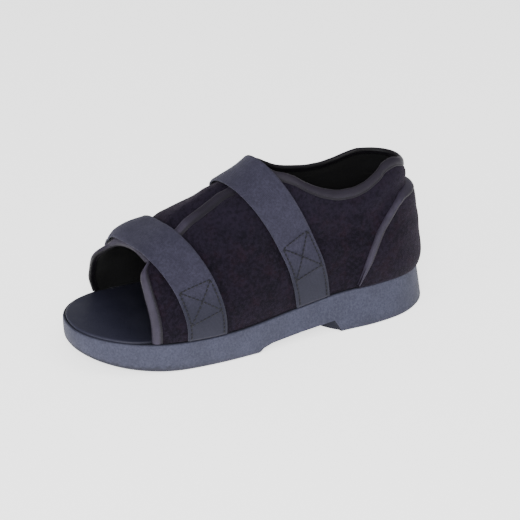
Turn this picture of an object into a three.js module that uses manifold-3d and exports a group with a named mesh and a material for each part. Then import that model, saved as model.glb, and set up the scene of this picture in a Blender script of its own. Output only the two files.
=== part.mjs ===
// Post-operative shoe: an open-toed upper of padded brushed cloth on a thick moulded sole, closed by two straps.
// Millimetres. +X points to the toe, +Y to the wearer's left, +Z up. The floor is z = 0.
import * as THREE from "three";
import { mergeVertices } from "three/addons/utils/BufferGeometryUtils.js";
import Module from "manifold-3d";

// Sole
const SOLE_LENGTH = 282;
const BALL_WIDTH = 107;
const BALL_HEIGHT = 22.5;
const HEEL_HEIGHT = 30.5;
const TOE_LIFT = 8; // of the rim, from TOE_LIFT_START to past the toe, as shares of the length
const TOE_LIFT_START = 0.72;
const TOE_LIFT_END = 1.12;
const ROCKER_LIFT = 13.5;
const ROCKER_LENGTH = 82;
const WEDGE_START = 0.2; // the rim comes down from the heel's height to the ball's between these shares of the length
const WEDGE_END = 0.68;
const EDGE_RADIUS = 3;
const HEEL_FLARE = 4.5;
const FOREFOOT_UNDERCUT = 1.2;
const ARCH_DEPTH = 10.8;
const HEEL_BREAST = 86; // from the back of the heel to the front of the heel block, on the floor
const FOREFOOT_PAD_END = 152; // from the back of the heel to the back of the forefoot pad
const BREAST_BOW = 9;
const BREAST_LEAN = 6; // how much further forward the heel block's front is at the arch's roof

// Upper
const WALL = 2.3;
const INSTEP_HEIGHT = 99; // from the sole's rim to the crest of the instep, at the throat
const BACK_HEIGHT = 114; // of the collar above the floor, either side of the heel
const THROAT_PLACE = 0.475; // where the collar turns into the flaps' free edges, by share of the length from the heel
const RIM_SET_BACK = 1.5;
const HEEL_SWELL = 3.2;
const SIDE_SWELL = 1.2;
const SWELL_TOP = 0.42; // share of the arch's rise at which the sides' swell ends
const HEEL_CENTRE = 44; // from the back of the heel to the point that the heel's ribs lean to
const TURN_START = 0.62; // share of the rim, from the toe, at which the ribs begin to lean
const FLAP_LAP = 15; // width over which the right flap dips under the left one's edge

// Insole, edge tape, counter and straps
const INSOLE_THICKNESS = 4.5;
const INSOLE_RECESS = 3.5;
const INSOLE_MARGIN = 4.7;
const TOE_MARGIN = 2.8;
const TAPE_WIDTH = 7.5;
const TAPE_THICKNESS = 0.8;
const TAPE_GAP = 0.56; // the tape is sewn over padding that gives
const COUNTER_THICKNESS = 1.6;
const STRAP_WIDTH = 29;
const STRAP_THICKNESS = 1.6;
const SQUEEZE = 2.8; // how far a tight strap sinks into the padding
const GAP = 0.3;

// How finely the pieces are cut
const PLAN_STEPS = 40; // round half of the plan
const COLUMNS = 34; // of the upper's grid on each side
const ROWS = 13;
const THROAT_COLUMN = 13; // the column of the left flap that stands at the throat
const COUNTER_COLUMNS = 16; // of the counter's grid on each side
const COUNTER_ROWS = 7;
const STRAP_CUTS = { lengthwise: 36, crosswise: 5 };
const STEP = 0.002; // share of the rim that slopes are measured over

// Half of the sole's plan: along is from the middle, as a share of half the length, and out of half the ball width.
const PLAN = [
  { along: 0.966, out: 0 },
  { along: 0.95, out: 0.27 },
  { along: 0.89, out: 0.535 },
  { along: 0.78, out: 0.765 },
  { along: 0.6, out: 0.94 },
  { along: 0.4, out: 1.0 },
  { along: 0.17, out: 0.995 },
  { along: -0.12, out: 0.885 },
  { along: -0.4, out: 0.79 },
  { along: -0.62, out: 0.775 },
  { along: -0.8, out: 0.675 },
  { along: -0.92, out: 0.475 },
  { along: -0.98, out: 0.25 },
  { along: -1.0, out: 0 },
];

// The last's section, by place along the shoe from the heel, as a share of its length. rise is the arch's height as a
// share of the instep's, and square is how boxy the arch is, where 2 is an ellipse.
const SECTIONS = [
  { place: 0.0, rise: 1.04, square: 2.2 },
  { place: 0.12, rise: 0.98, square: 2.0 },
  { place: 0.3, rise: 0.98, square: 1.95 },
  { place: 0.42, rise: 1.05, square: 1.95 },
  { place: 0.5, rise: 0.965, square: 2.05 },
  { place: 0.6, rise: 0.84, square: 2.1 },
  { place: 0.72, rise: 0.7, square: 2.2 },
  { place: 0.8, rise: 0.6, square: 2.3 },
  { place: 0.85, rise: 0.495, square: 2.35 },
  { place: 0.9, rise: 0.455, square: 2.4 },
];

// The collar's edge: place is from the heel and height a share of the back's height.
const COLLAR_EDGE = [
  { place: 0.05, height: 0.975 },
  { place: 0.1, height: 1.0 },
  { place: 0.133, height: 1.0 },
  { place: 0.155, height: 0.975 },
  { place: 0.18, height: 0.935 },
  { place: 0.212, height: 0.905 },
  { place: 0.24, height: 0.892 },
  { place: 0.265, height: 0.888 },
  { place: 0.3, height: 0.906 },
  { place: 0.343, height: 0.955 },
  { place: 0.381, height: 1.01 },
  { place: 0.42, height: 1.055 },
  { place: 0.47, height: 1.085 },
];

// The front edge of each flap at the toe opening: degrees round the arch from the sole, and place from the heel.
const FRONT_EDGE = [
  { degrees: 0, left: 0.811, right: 0.854 },
  { degrees: 22, left: 0.811, right: 0.867 },
  { degrees: 44, left: 0.816, right: 0.867 },
  { degrees: 56, left: 0.817, right: 0.856 },
  { degrees: 66, left: 0.804, right: 0.837 },
  { degrees: 84, left: 0.785, right: 0.822 },
  { degrees: 130, left: 0.765, right: 0.79 },
];

// Each flap's free edge along the throat: how far left of the middle, as a share of half the ball's width.
const THROAT_EDGE = [
  { place: 0.46, left: -0.03, right: 0.02 },
  { place: 0.54, left: 0.08, right: 0.24 },
  { place: 0.62, left: 0.15, right: 0.4 },
  { place: 0.71, left: 0.24, right: 0.5 },
  { place: 0.81, left: 0.41, right: 0.6 },
];

// The counter's upper edge: place is from the heel and height a share of the back's height above the sole.
const COUNTER_EDGE = [
  { place: 0.0, height: 0.83 },
  { place: 0.05, height: 0.82 },
  { place: 0.095, height: 0.78 },
  { place: 0.123, height: 0.71 },
  { place: 0.151, height: 0.59 },
  { place: 0.177, height: 0.478 },
  { place: 0.205, height: 0.333 },
  { place: 0.224, height: 0.2 },
  { place: 0.25, height: 0.03 },
];

// Where each strap crosses: base is its middle at the sole, low and high its tilt to the toe in degrees at the sole and
// at the instep, skew its drift to the toe as it crosses, and end the height of its free end above the sole.
const STRAPS = [
  { name: "front_strap", base: 0.68, low: 0, high: 28, skew: 0.17, end: 34 },
  { name: "rear_strap", base: 0.378, low: 2, high: 31.5, skew: 0.17, end: 46 },
];

// How far the inside of a strap stands off the cloth at each angle round it.
const STRAP_STAND_OFF = [
  { degrees: 0, gap: 0.4 },
  { degrees: 25, gap: 0.5 },
  { degrees: 45, gap: 1.7 },
  { degrees: 90, gap: 1.9 },
  { degrees: 130, gap: 1.5 },
  { degrees: 170, gap: 0.6 },
];

const HALF = SOLE_LENGTH / 2;
const wasm = await Module();
wasm.setup();

const mix = (a, b, t) => a + (b - a) * t;

function ease(from, to, value) {
  const t = Math.min(1, Math.max(0, (value - from) / (to - from)));
  return t * t * (3 - 2 * t);
}

// Reads a column of a table at a key, along a smooth curve through its rows.
function read(table, key, column, value) {
  const last = table.length - 1;
  const at = Math.min(Math.max(value, table[0][key]), table[last][key]);
  let i = 0;
  while (i < last - 1 && table[i + 1][key] < at) i++;
  const slope = (k) => (table[k + 1][column] - table[k][column]) / (table[k + 1][key] - table[k][key]);
  const tangent = (k) => {
    if (k === 0) return slope(0);
    if (k === last) return slope(last - 1);
    const [before, after] = [slope(k - 1), slope(k)];
    return before * after <= 0 ? 0 : (2 * before * after) / (before + after);
  };
  const span = table[i + 1][key] - table[i][key];
  const t = (at - table[i][key]) / span;
  const [t2, t3] = [t * t, t * t * t];
  return (
    (2 * t3 - 3 * t2 + 1) * table[i][column] +
    (t3 - 2 * t2 + t) * span * tangent(i) +
    (3 * t2 - 2 * t3) * table[i + 1][column] +
    (t3 - t2) * span * tangent(i + 1)
  );
}

const placeOf = (x) => (x + HALF) / SOLE_LENGTH;
const xOf = (place) => place * SOLE_LENGTH - HALF;

// The rim of the sole, toe tip to heel along the left side and back along the right.
const planPoint = (row, side) => new THREE.Vector3(row.along * HALF, (side * row.out * BALL_WIDTH) / 2, 0);
const rimCurve = new THREE.CatmullRomCurve3(
  [...PLAN.map((row) => planPoint(row, 1)), ...PLAN.slice(1, -1).reverse().map((row) => planPoint(row, -1))],
  true,
);
rimCurve.arcLengthDivisions = 1200;

// A point of the rim, round from 0 at the toe to 1 at the heel on the given side, moved inwards by inset.
function rim(side, round, inset) {
  const u = Math.min(Math.max(round, 0), 1) / 2;
  const point = rimCurve.getPointAt(u);
  const tangent = rimCurve.getTangentAt(u);
  const inward = new THREE.Vector3(-tangent.y, tangent.x, 0);
  point.addScaledVector(inward, inset);
  return new THREE.Vector3(point.x, side * point.y, 0);
}

function rimHeight(x) {
  const place = placeOf(x);
  const wedge = mix(HEEL_HEIGHT, BALL_HEIGHT, ease(WEDGE_START, WEDGE_END, place));
  return wedge + TOE_LIFT * ease(TOE_LIFT_START, TOE_LIFT_END, place);
}

const soleBottom = (x) => {
  const share = Math.max(0, (x - HALF + ROCKER_LENGTH) / ROCKER_LENGTH);
  return ROCKER_LIFT * share * share;
};

// The share of the rim at which it reaches a place along the shoe.
function roundAt(x) {
  let [low, high] = [0, 1];
  for (let i = 0; i < 30; i++) {
    const middle = (low + high) / 2;
    if (rim(1, middle, 0).x > x) low = middle;
    else high = middle;
  }
  return (low + high) / 2;
}

// The last, ribbed from the rim: side 1 is left and -1 right, round is the share of the rim, and degrees go up the
// rib from the sole, past 90 over the crest to the other side.
function lastPoint(side, round, degrees) {
  const foot = rim(side, round, RIM_SET_BACK);
  const turn = ease(TURN_START, 1, round);
  const centreX = mix(foot.x, HEEL_CENTRE - HALF, turn);
  const centre = new THREE.Vector3(centreX, 0, 0);
  const reach = foot.distanceTo(centre);
  const out = foot.clone().sub(centre).divideScalar(reach);
  const place = placeOf(foot.x);
  const rise = INSTEP_HEIGHT * read(SECTIONS, "place", "rise", place);
  const square = read(SECTIONS, "place", "square", place);
  const angle = THREE.MathUtils.degToRad(degrees);
  const [c, s] = [Math.cos(angle), Math.sin(angle)];
  const radius = (Math.abs(c / reach) ** square + Math.abs(s / rise) ** square) ** (-1 / square);
  const height = radius * s;
  const swell = mix(SIDE_SWELL, HEEL_SWELL, ease(0.7, 1, round));
  const bulge = c > 0 ? swell * Math.sin(Math.PI * Math.min(1, height / (rise * SWELL_TOP))) : 0;
  const point = centre.addScaledVector(out, radius * c + bulge);
  point.z = rimHeight(foot.x) + GAP + height;
  return point;
}

function lastFrame(side, round, degrees) {
  const at = lastPoint(side, round, degrees);
  const towardsToe = round > 0.99;
  const next = towardsToe ? lastPoint(side, round - STEP, degrees) : lastPoint(side, round + STEP, degrees);
  const alongRim = next.sub(at).multiplyScalar((towardsToe ? -1 : 1) / STEP);
  if (round > 0.999) alongRim.set(0, -side * alongRim.length(), 0);
  const upRib = lastPoint(side, round, degrees + 1).sub(lastPoint(side, round, degrees - 1)).divideScalar(2);
  const normal = new THREE.Vector3().crossVectors(upRib, alongRim).multiplyScalar(-side).normalize();
  return { at, alongRim, upRib, normal };
}

const throatEdge = (column, x) => (read(THROAT_EDGE, "place", column, placeOf(x)) * BALL_WIDTH) / 2;

// The right flap is lowered where it runs under the left one.
function flapDrop(side, round, point) {
  if (side > 0) return 0;
  const drop = WALL + 2 * (TAPE_THICKNESS + TAPE_GAP) + 1.5 * GAP;
  const vamp = 1 - ease(0.64, 0.74, round);
  const edge = throatEdge("left", point.x);
  return drop * vamp * ease(edge - FLAP_LAP, edge - 0.2 * FLAP_LAP, point.y);
}

// A strap's middle line on the side of the last: how far ahead of its base it is at a height above the sole.
function strapPath({ base, low, high, skew }) {
  const foot = xOf(base);
  const rad = THREE.MathUtils.degToRad;
  const [slope, bend] = [Math.tan(rad(low)), (Math.tan(rad(high)) - Math.tan(rad(low))) / (2 * INSTEP_HEIGHT)];
  return (point) => {
    const height = Math.max(0, point.z - rimHeight(foot));
    const tilt = Math.atan(slope + 2 * bend * height);
    const drift = skew * (BALL_WIDTH / 2 - point.y);
    return (point.x - foot - slope * height - bend * height * height - drift) * Math.cos(tilt);
  };
}

const strapPaths = STRAPS.map(strapPath);

// How deep the straps press the cloth in at a point of the last.
function squeeze(point, degrees) {
  const high = ease(30, 60, Math.min(degrees, 180 - degrees));
  const near = (path) => 1 - ease(STRAP_WIDTH / 2 - 1, STRAP_WIDTH / 2 + 12, Math.abs(path(point)));
  return SQUEEZE * high * Math.max(...strapPaths.map(near));
}

// A point of the upper's outer face, moved out along its normal.
function skin(side, round, degrees, height) {
  const { at, normal } = lastFrame(side, round, degrees);
  const pressed = squeeze(at, degrees) + flapDrop(side, round, at);
  return at.addScaledVector(normal, height - pressed);
}

function solveDegrees(side, round, reached) {
  let [low, high] = [0, 178];
  for (let i = 0; i < 26; i++) {
    const middle = (low + high) / 2;
    if (reached(lastPoint(side, round, middle))) high = middle;
    else low = middle;
  }
  return (low + high) / 2;
}

// The upper edge of the upper on a rib, in degrees: the collar behind the throat, and the flap's free edge before it.
function topDegrees(side, round) {
  const x = rim(side, round, RIM_SET_BACK).x;
  const crest = mix(rimHeight(x), lastPoint(side, round, 90).z, 0.985);
  const height = (p) => Math.min(crest, read(COLLAR_EDGE, "place", "height", placeOf(p.x)) * BACK_HEIGHT);
  const collar = solveDegrees(side, round, (p) => p.z >= height(p));
  const throat = xOf(THROAT_PLACE);
  const before = ease(throat - 13, throat + 13, x);
  if (before === 0) return collar;
  const edge = throatEdge(side > 0 ? "left" : "right", x);
  const flap = solveDegrees(side, round, (p) => side * (p.y - edge) <= 0);
  return mix(collar, flap, before);
}

// Where the upper's grid has a point: a from 0 at the toe opening to 1 at the back, b from 0 at the sole to 1 on top.
function gridAt(side, a, b) {
  const column = side > 0 ? "left" : "right";
  let round = mix(0.2, 1, a);
  let degrees = 0;
  for (let i = 0; i < 8; i++) {
    degrees = b * topDegrees(side, round);
    const front = roundAt(xOf(read(FRONT_EDGE, "degrees", column, degrees)));
    round = mix(front, 1, a);
  }
  return { round, degrees };
}

// Turns a closed triangle mesh into a geometry, by way of its points and its faces' corners.
function geometryOf(points, corners) {
  const geometry = new THREE.BufferGeometry();
  geometry.setAttribute("position", new THREE.Float32BufferAttribute(points.flatMap((p) => [p.x, p.y, p.z]), 3));
  geometry.setIndex(corners);
  return geometry;
}

// A closed solid between two grids of points, outer and inner, whose rows and columns match.
function shellOf(outer, inner) {
  const [rows, columns] = [outer.length, outer[0].length];
  const points = [...outer.flat(), ...inner.flat()];
  const layer = rows * columns;
  const corners = [];
  const quad = (a, b, c, d) => corners.push(a, b, c, a, c, d);
  for (let i = 0; i + 1 < rows; i++) {
    for (let j = 0; j + 1 < columns; j++) {
      const k = i * columns + j;
      quad(k, k + columns, k + columns + 1, k + 1);
      quad(layer + k, layer + k + 1, layer + k + columns + 1, layer + k + columns);
    }
    const [left, right] = [i * columns, i * columns + columns - 1];
    quad(left, layer + left, layer + left + columns, left + columns);
    quad(right + columns, layer + right + columns, layer + right, right);
  }
  for (let j = 0; j + 1 < columns; j++) {
    const top = (rows - 1) * columns + j;
    quad(j + 1, layer + j + 1, layer + j, j);
    quad(top, layer + top, layer + top + 1, top + 1);
  }
  return geometryOf(points, corners);
}

// A closed solid through rings of points, with a flat cap on its first and last ring.
function loftOf(rings) {
  const count = rings[0].length;
  const corners = [];
  for (let i = 0; i + 1 < rings.length; i++) {
    for (let j = 0; j < count; j++) {
      const [a, b] = [i * count + j, i * count + ((j + 1) % count)];
      corners.push(a, b, b + count, a, b + count, a + count);
    }
  }
  const end = (rings.length - 1) * count;
  return { points: rings.flat(), corners, count, end };
}

function solidOf(geometry) {
  const merged = mergeVertices(geometry, 1e-4);
  const mesh = { numProp: 3, vertProperties: merged.attributes.position.array };
  return new wasm.Manifold(new wasm.Mesh({ ...mesh, triVerts: new Uint32Array(merged.index.array) }));
}

function geometryFrom(solid) {
  const mesh = solid.getMesh();
  const geometry = new THREE.BufferGeometry();
  const positions = new Float32Array(mesh.numVert * 3);
  for (let i = 0; i < mesh.numVert; i++) {
    const start = i * mesh.numProp;
    positions.set(mesh.vertProperties.subarray(start, start + 3), i * 3);
  }
  geometry.setAttribute("position", new THREE.BufferAttribute(positions, 3));
  geometry.setIndex(new THREE.BufferAttribute(mesh.triVerts, 1));
  return geometry;
}

// A flat-sided solid that follows the sole's plan: each level gives an inset and a height at a place along the shoe.
// Its top and bottom are strips across, because their heights change only along the shoe.
function slabOf(levels, steps) {
  const halfRings = levels.map((level) => {
    const ring = [];
    for (let i = 0; i <= steps; i++) {
      const round = i / steps;
      const x = rim(1, round, 0).x;
      const point = rim(1, round, level.inset(x));
      if (i === 0 || i === steps) point.y = 0;
      point.z = level.height(x);
      ring.push(point);
    }
    return ring;
  });
  const rings = halfRings.map((half) => {
    const right = half.slice(1, -1).map((p) => new THREE.Vector3(p.x, -p.y, p.z));
    return [...half, ...right.reverse()];
  });
  const { points, corners, count, end } = loftOf(rings);
  const mirror = (i) => (count - i) % count;
  for (let i = 0; i < steps; i++) {
    const near = [i, i + 1, mirror(i + 1), mirror(i)];
    if (i > 0) corners.push(near[0], near[3], near[2]);
    if (i + 1 < steps) corners.push(near[0], near[2], near[1]);
    if (i > 0) corners.push(end + near[0], end + near[2], end + near[3]);
    if (i + 1 < steps) corners.push(end + near[0], end + near[1], end + near[2]);
  }
  return geometryOf(points, corners);
}

const insoleInset = (x) => mix(INSOLE_MARGIN, TOE_MARGIN, ease(0.885, 0.925, placeOf(x)));

function archCutter() {
  const breast = HEEL_BREAST - HALF;
  const pad = FOREFOOT_PAD_END - HALF;
  const below = -5;
  const profile = [
    { x: breast - BREAST_LEAN - 0.6 * below, z: below, bow: 1 },
    { x: breast, z: -0.01, bow: 1 },
    { x: breast + BREAST_LEAN, z: ARCH_DEPTH, bow: 1 },
    { x: breast + 34, z: ARCH_DEPTH * 0.82, bow: 0.4 },
    { x: pad - 11, z: ARCH_DEPTH * 0.6, bow: 0 },
    { x: pad - 4, z: ARCH_DEPTH * 0.38, bow: 0 },
    { x: pad, z: -0.01, bow: 0 },
    { x: pad + 2, z: below, bow: 0 },
  ];
  const width = BALL_WIDTH / 2 + 8;
  const cuts = 12;
  const rings = [];
  for (let i = 0; i <= cuts; i++) {
    const y = mix(-width, width, i / cuts);
    const bow = BREAST_BOW * Math.max(0, 1 - (y / (BALL_WIDTH * 0.41)) ** 2);
    rings.push(profile.map((p) => new THREE.Vector3(p.x + bow * p.bow, y, p.z)));
  }
  return sweepOf(rings);
}

// A closed solid through rings, with each end closed by a fan.
function sweepOf(rings) {
  const { points, corners, count, end } = loftOf(rings);
  for (let j = 1; j + 1 < count; j++) {
    corners.push(0, j + 1, j);
    corners.push(end, end + j, end + j + 1);
  }
  return geometryOf(points, corners);
}

// A closed solid through rings of any section, whose ends are cut into triangles.
function ribbonOf(rings, section) {
  const { points, corners, count, end } = loftOf(rings);
  const faces = THREE.ShapeUtils.triangulateShape(section, []);
  for (const [a, b, c] of faces) {
    corners.push(a, c, b);
    corners.push(end + a, end + b, end + c);
  }
  return geometryOf(points, corners);
}

function soleGeometry() {
  const heelToBall = (x) => ease(0.3, 0.6, placeOf(x));
  const draft = (x) => mix(-HEEL_FLARE, FOREFOOT_UNDERCUT, heelToBall(x));
  const soft = 0.3 * EDGE_RADIUS;
  const levels = [
    { inset: (x) => draft(x) + EDGE_RADIUS, height: soleBottom },
    { inset: (x) => draft(x) + soft, height: (x) => soleBottom(x) + soft },
    { inset: (x) => draft(x) * 0.8, height: (x) => soleBottom(x) + EDGE_RADIUS },
    { inset: (x) => draft(x) * 0.3, height: (x) => mix(soleBottom(x), rimHeight(x), 0.6) },
    { inset: () => 0, height: (x) => rimHeight(x) - 1 },
    { inset: () => 0.8, height: (x) => rimHeight(x) },
    { inset: insoleInset, height: (x) => rimHeight(x) },
    { inset: insoleInset, height: (x) => rimHeight(x) - INSOLE_RECESS },
  ];
  const block = solidOf(slabOf(levels, PLAN_STEPS));
  return geometryFrom(block.subtract(solidOf(archCutter())));
}

function insoleGeometry() {
  const inset = (x) => insoleInset(x) + GAP;
  const base = (x) => rimHeight(x) - INSOLE_RECESS + GAP;
  return slabOf(
    [
      { inset, height: base },
      { inset, height: (x) => base(x) + INSOLE_THICKNESS - 1 },
      { inset: (x) => inset(x) + 0.4, height: (x) => base(x) + INSOLE_THICKNESS - 0.3 },
      { inset: (x) => inset(x) + 1.2, height: (x) => base(x) + INSOLE_THICKNESS },
    ],
    PLAN_STEPS,
  );
}

// The upper's outer and inner faces, as columns of points from the left of the toe opening round the heel to its right.
function upperSheet() {
  const sheet = { outer: [], inner: [] };
  const addColumn = (side, a) => {
    const places = Array.from({ length: ROWS + 1 }, (_, j) => gridAt(side, a, j / ROWS));
    sheet.outer.push(places.map(({ round, degrees }) => skin(side, round, degrees, 0)));
    sheet.inner.push(places.map(({ round, degrees }) => skin(side, round, degrees, -WALL)));
  };
  for (let i = 0; i <= COLUMNS; i++) addColumn(1, i / COLUMNS);
  for (let i = COLUMNS - 1; i >= 0; i--) addColumn(-1, i / COLUMNS);
  return sheet;
}

const sheet = upperSheet();

// A point on one face of the upper between its columns and rows.
function onFace(face, i, j) {
  const [c, r] = [Math.min(Math.max(Math.floor(i), 0), 2 * COLUMNS - 1), Math.min(Math.max(Math.floor(j), 0), ROWS - 1)];
  const low = face[c][r].clone().lerp(face[c + 1][r], i - c);
  const high = face[c][r + 1].clone().lerp(face[c + 1][r + 1], i - c);
  return low.lerp(high, j - r);
}

// A point at a height above the upper's outer face.
const onSheet = (i, j, height) => onFace(sheet.outer, i, j).lerp(onFace(sheet.inner, i, j), -height / WALL);

// How many columns or rows a distance is, from a place on the edge along the grid.
function steps(i, j, di, dj, distance) {
  const length = onSheet(i + di, j + dj, 0).distanceTo(onSheet(i, j, 0));
  if (distance <= length) return distance / length;
  const next = onSheet(i + 2 * di, j + 2 * dj, 0).distanceTo(onSheet(i + di, j + dj, 0));
  return 1 + (distance - length) / next;
}

// A strip of tape folded over an edge of the upper: its section in distance into the panel and height above the face.
function foldSection() {
  const under = -WALL - TAPE_GAP;
  const over = TAPE_GAP + TAPE_THICKNESS;
  return [
    [TAPE_WIDTH, TAPE_GAP],
    [TAPE_WIDTH - 0.3, over],
    [TAPE_WIDTH / 2, over],
    [0, over],
    [-over, TAPE_GAP / 2],
    [-over, under + TAPE_GAP / 2],
    [0, under - TAPE_THICKNESS],
    [TAPE_WIDTH - 1.8, under - TAPE_THICKNESS],
    [TAPE_WIDTH - 1.5, under],
    [-TAPE_GAP, under],
    [-TAPE_GAP, TAPE_GAP],
    [TAPE_WIDTH / 2, TAPE_GAP],
  ].map(([x, y]) => new THREE.Vector2(x, y));
}

// Lays a folded tape along the upper's edge. Each place of the path has its column i and row j, and the ways into the
// panel by column and row. The corner is the place where the path turns, and the tape is mitred there.
function tapeOf(path, corner, backwards) {
  const section = foldSection();
  const rings = path.map(({ i, j, di, dj }, k) => {
    const fromCorner = 0.06 * Math.abs(k - corner);
    return section.map(({ x, y }) => {
      const inward = Math.abs(x);
      let byColumn = di ? di * Math.sign(x) * steps(i, j, di, 0, inward) : 0;
      let byRow = dj ? dj * Math.sign(x) * steps(i, j, 0, dj, inward) : 0;
      if (x > 0 && k < corner) {
        const mitre = ROWS - steps(i, ROWS, 0, -1, inward) - fromCorner;
        byRow = Math.min(0, mitre - j);
      }
      if (x > 0 && k > corner && corner >= 0) {
        const { i: column, di: into } = path[corner];
        const mitre = steps(column, j, into, 0, inward) + fromCorner;
        byColumn = into * Math.max(0, mitre - Math.abs(i - column));
      }
      return onSheet(i + byColumn, j + byRow, y);
    });
  });
  if (backwards) rings.reverse();
  return ribbonOf(rings, section);
}

// Up the front edge of a flap, round its corner and back along the throat.
function flapTapeGeometry(side) {
  const column = (i) => (side > 0 ? i : 2 * COLUMNS - i);
  const path = [];
  for (let j = 0; j < ROWS; j++) path.push({ i: column(0), j: Math.max(j, 0.15), di: side, dj: 0 });
  path.push({ i: column(0), j: ROWS, di: side, dj: -1 });
  for (let i = 1; i < THROAT_COLUMN; i++) path.push({ i: column(i), j: ROWS, di: 0, dj: -1 });
  return tapeOf(path, ROWS, side > 0);
}

function collarTapeGeometry() {
  const path = [];
  const end = 2 * COLUMNS - THROAT_COLUMN - 2;
  for (let i = THROAT_COLUMN; i <= end; i++) path.push({ i, j: ROWS, di: 0, dj: -1 });
  path[0].i += 0.1;
  return tapeOf(path, -1, true);
}

function counterDegrees(side, round) {
  const rise = BACK_HEIGHT - HEEL_HEIGHT;
  const height = (p) => Math.max(3, read(COUNTER_EDGE, "place", "height", placeOf(p.x)) * rise);
  return solveDegrees(side, round, (p) => p.z >= HEEL_HEIGHT + height(p));
}

const counterFront = roundAt(xOf(COUNTER_EDGE[COUNTER_EDGE.length - 1].place));
const counterRound = (i) => mix(counterFront, 1, i / COUNTER_COLUMNS);

function counterGeometry() {
  const outer = [];
  const inner = [];
  const addColumn = (side, round) => {
    const top = counterDegrees(side, round);
    const column = Array.from({ length: COUNTER_ROWS + 1 }, (_, j) => (top * j) / COUNTER_ROWS);
    outer.push(column.map((degrees) => skin(side, round, degrees, GAP + COUNTER_THICKNESS)));
    inner.push(column.map((degrees) => skin(side, round, degrees, GAP)));
  };
  for (let i = 0; i <= COUNTER_COLUMNS; i++) addColumn(1, counterRound(i));
  for (let i = COUNTER_COLUMNS - 1; i >= 0; i--) addColumn(-1, counterRound(i));
  return shellOf(outer, inner);
}

// Points beside a line on the upper: inwards is the distance to its inner side and height above the face.
function besideLine(side, round, degrees, tangent, inwards, height) {
  const { alongRim, upRib, normal } = lastFrame(side, round, degrees);
  const into = new THREE.Vector3().crossVectors(tangent, normal).normalize();
  const [aa, bb, ab] = [alongRim.lengthSq(), upRib.lengthSq(), alongRim.dot(upRib)];
  const [ea, eb] = [alongRim.dot(into), upRib.dot(into)];
  const det = aa * bb - ab * ab;
  const dRound = (inwards * (ea * bb - eb * ab)) / det;
  const dDegrees = (inwards * (eb * aa - ea * ab)) / det;
  return skin(side, round + dRound, degrees + dDegrees, height);
}

// The tape that covers the counter's upper edge and steps down to the quarter.
function counterTapeGeometry() {
  const top = GAP + COUNTER_THICKNESS + 1.5 * GAP;
  const section = [
    [TAPE_WIDTH - 1, top],
    [TAPE_WIDTH - 1.5, top + TAPE_THICKNESS],
    [0.5, top + TAPE_THICKNESS],
    [-1.4, top * 0.75],
    [-1.8, GAP],
    [-GAP, GAP],
    [-GAP, top],
  ].map(([x, y]) => new THREE.Vector2(x, y));
  const path = [];
  const push = (side, i) => {
    const round = counterRound(i);
    path.push({ side, round, degrees: counterDegrees(side, round) });
  };
  for (let i = 0; i <= COUNTER_COLUMNS; i++) push(1, i);
  for (let i = COUNTER_COLUMNS - 1; i >= 0; i--) push(-1, i);
  const line = path.map(({ side, round, degrees }) => skin(side, round, degrees, 0));
  const rings = path.map(({ side, round, degrees }, i) => {
    const before = line[Math.max(0, i - 1)];
    const after = line[Math.min(line.length - 1, i + 1)];
    const tangent = after.clone().sub(before).normalize();
    return section.map((p) => besideLine(side, round, degrees, tangent, p.x, p.y));
  });
  return ribbonOf(rings.reverse(), section);
}

// A strap is a band over the last, from the left of the sole to its free end on the right.
function strapGeometry(strap, ahead) {
  const bandPlace = (degrees, offset) => {
    let [low, high] = [0.1, 0.9];
    for (let i = 0; i < 26; i++) {
      const middle = (low + high) / 2;
      if (ahead(lastPoint(1, middle, degrees)) > offset) low = middle;
      else high = middle;
    }
    return (low + high) / 2;
  };
  const bandPoint = (degrees, offset, thickness) => {
    const { at, normal } = lastFrame(1, bandPlace(degrees, offset), degrees);
    const stand = read(STRAP_STAND_OFF, "degrees", "gap", degrees) - squeeze(at, degrees);
    return at.addScaledVector(normal, stand + thickness);
  };
  const endDegrees = (offset) => {
    const corner = 3 * ease(0.6, 1, Math.abs(offset) / (STRAP_WIDTH / 2)) ** 2;
    const height = rimHeight(xOf(strap.base)) + strap.end + corner;
    let [low, high] = [95, 176];
    for (let i = 0; i < 24; i++) {
      const middle = (low + high) / 2;
      if (bandPoint(middle, offset, 0).z > height) low = middle;
      else high = middle;
    }
    return (low + high) / 2;
  };

  const { lengthwise, crosswise } = STRAP_CUTS;
  const outer = [];
  const inner = [];
  for (let j = 0; j <= crosswise; j++) {
    const offset = STRAP_WIDTH * (0.5 - j / crosswise);
    const stop = endDegrees(offset);
    const places = Array.from({ length: lengthwise + 1 }, (_, k) => mix(1.2, stop, k / lengthwise));
    outer.push(places.map((degrees) => bandPoint(degrees, offset, STRAP_THICKNESS)));
    inner.push(places.map((degrees) => bandPoint(degrees, offset, 0)));
  }
  return shellOf(outer, inner);
}

const finishes = {
  cloth: { color: 0x221f28, roughness: 0.95 },
  tape: { color: 0x4a4753, roughness: 0.6 },
  webbing: { color: 0x454856, roughness: 0.8 },
  foam: { color: 0x5a5d6e, roughness: 0.85 },
  insole: { color: 0x23262f, roughness: 0.7 },
};

const shoe = new THREE.Group();

function add(name, finish, geometry) {
  const material = new THREE.MeshStandardMaterial({ ...finishes[finish], metalness: 0 });
  geometry.computeVertexNormals();
  const mesh = new THREE.Mesh(geometry, material);
  mesh.name = name;
  shoe.add(mesh);
}

add("sole", "foam", soleGeometry());
add("insole", "insole", insoleGeometry());
add("upper", "cloth", shellOf(sheet.outer, sheet.inner));
add("heel_counter", "cloth", counterGeometry());
add("counter_tape", "tape", counterTapeGeometry());
add("left_flap_tape", "tape", flapTapeGeometry(1));
add("right_flap_tape", "tape", flapTapeGeometry(-1));
add("collar_tape", "tape", collarTapeGeometry());
STRAPS.forEach((strap, i) => add(strap.name, "webbing", strapGeometry(strap, strapPaths[i])));

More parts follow.
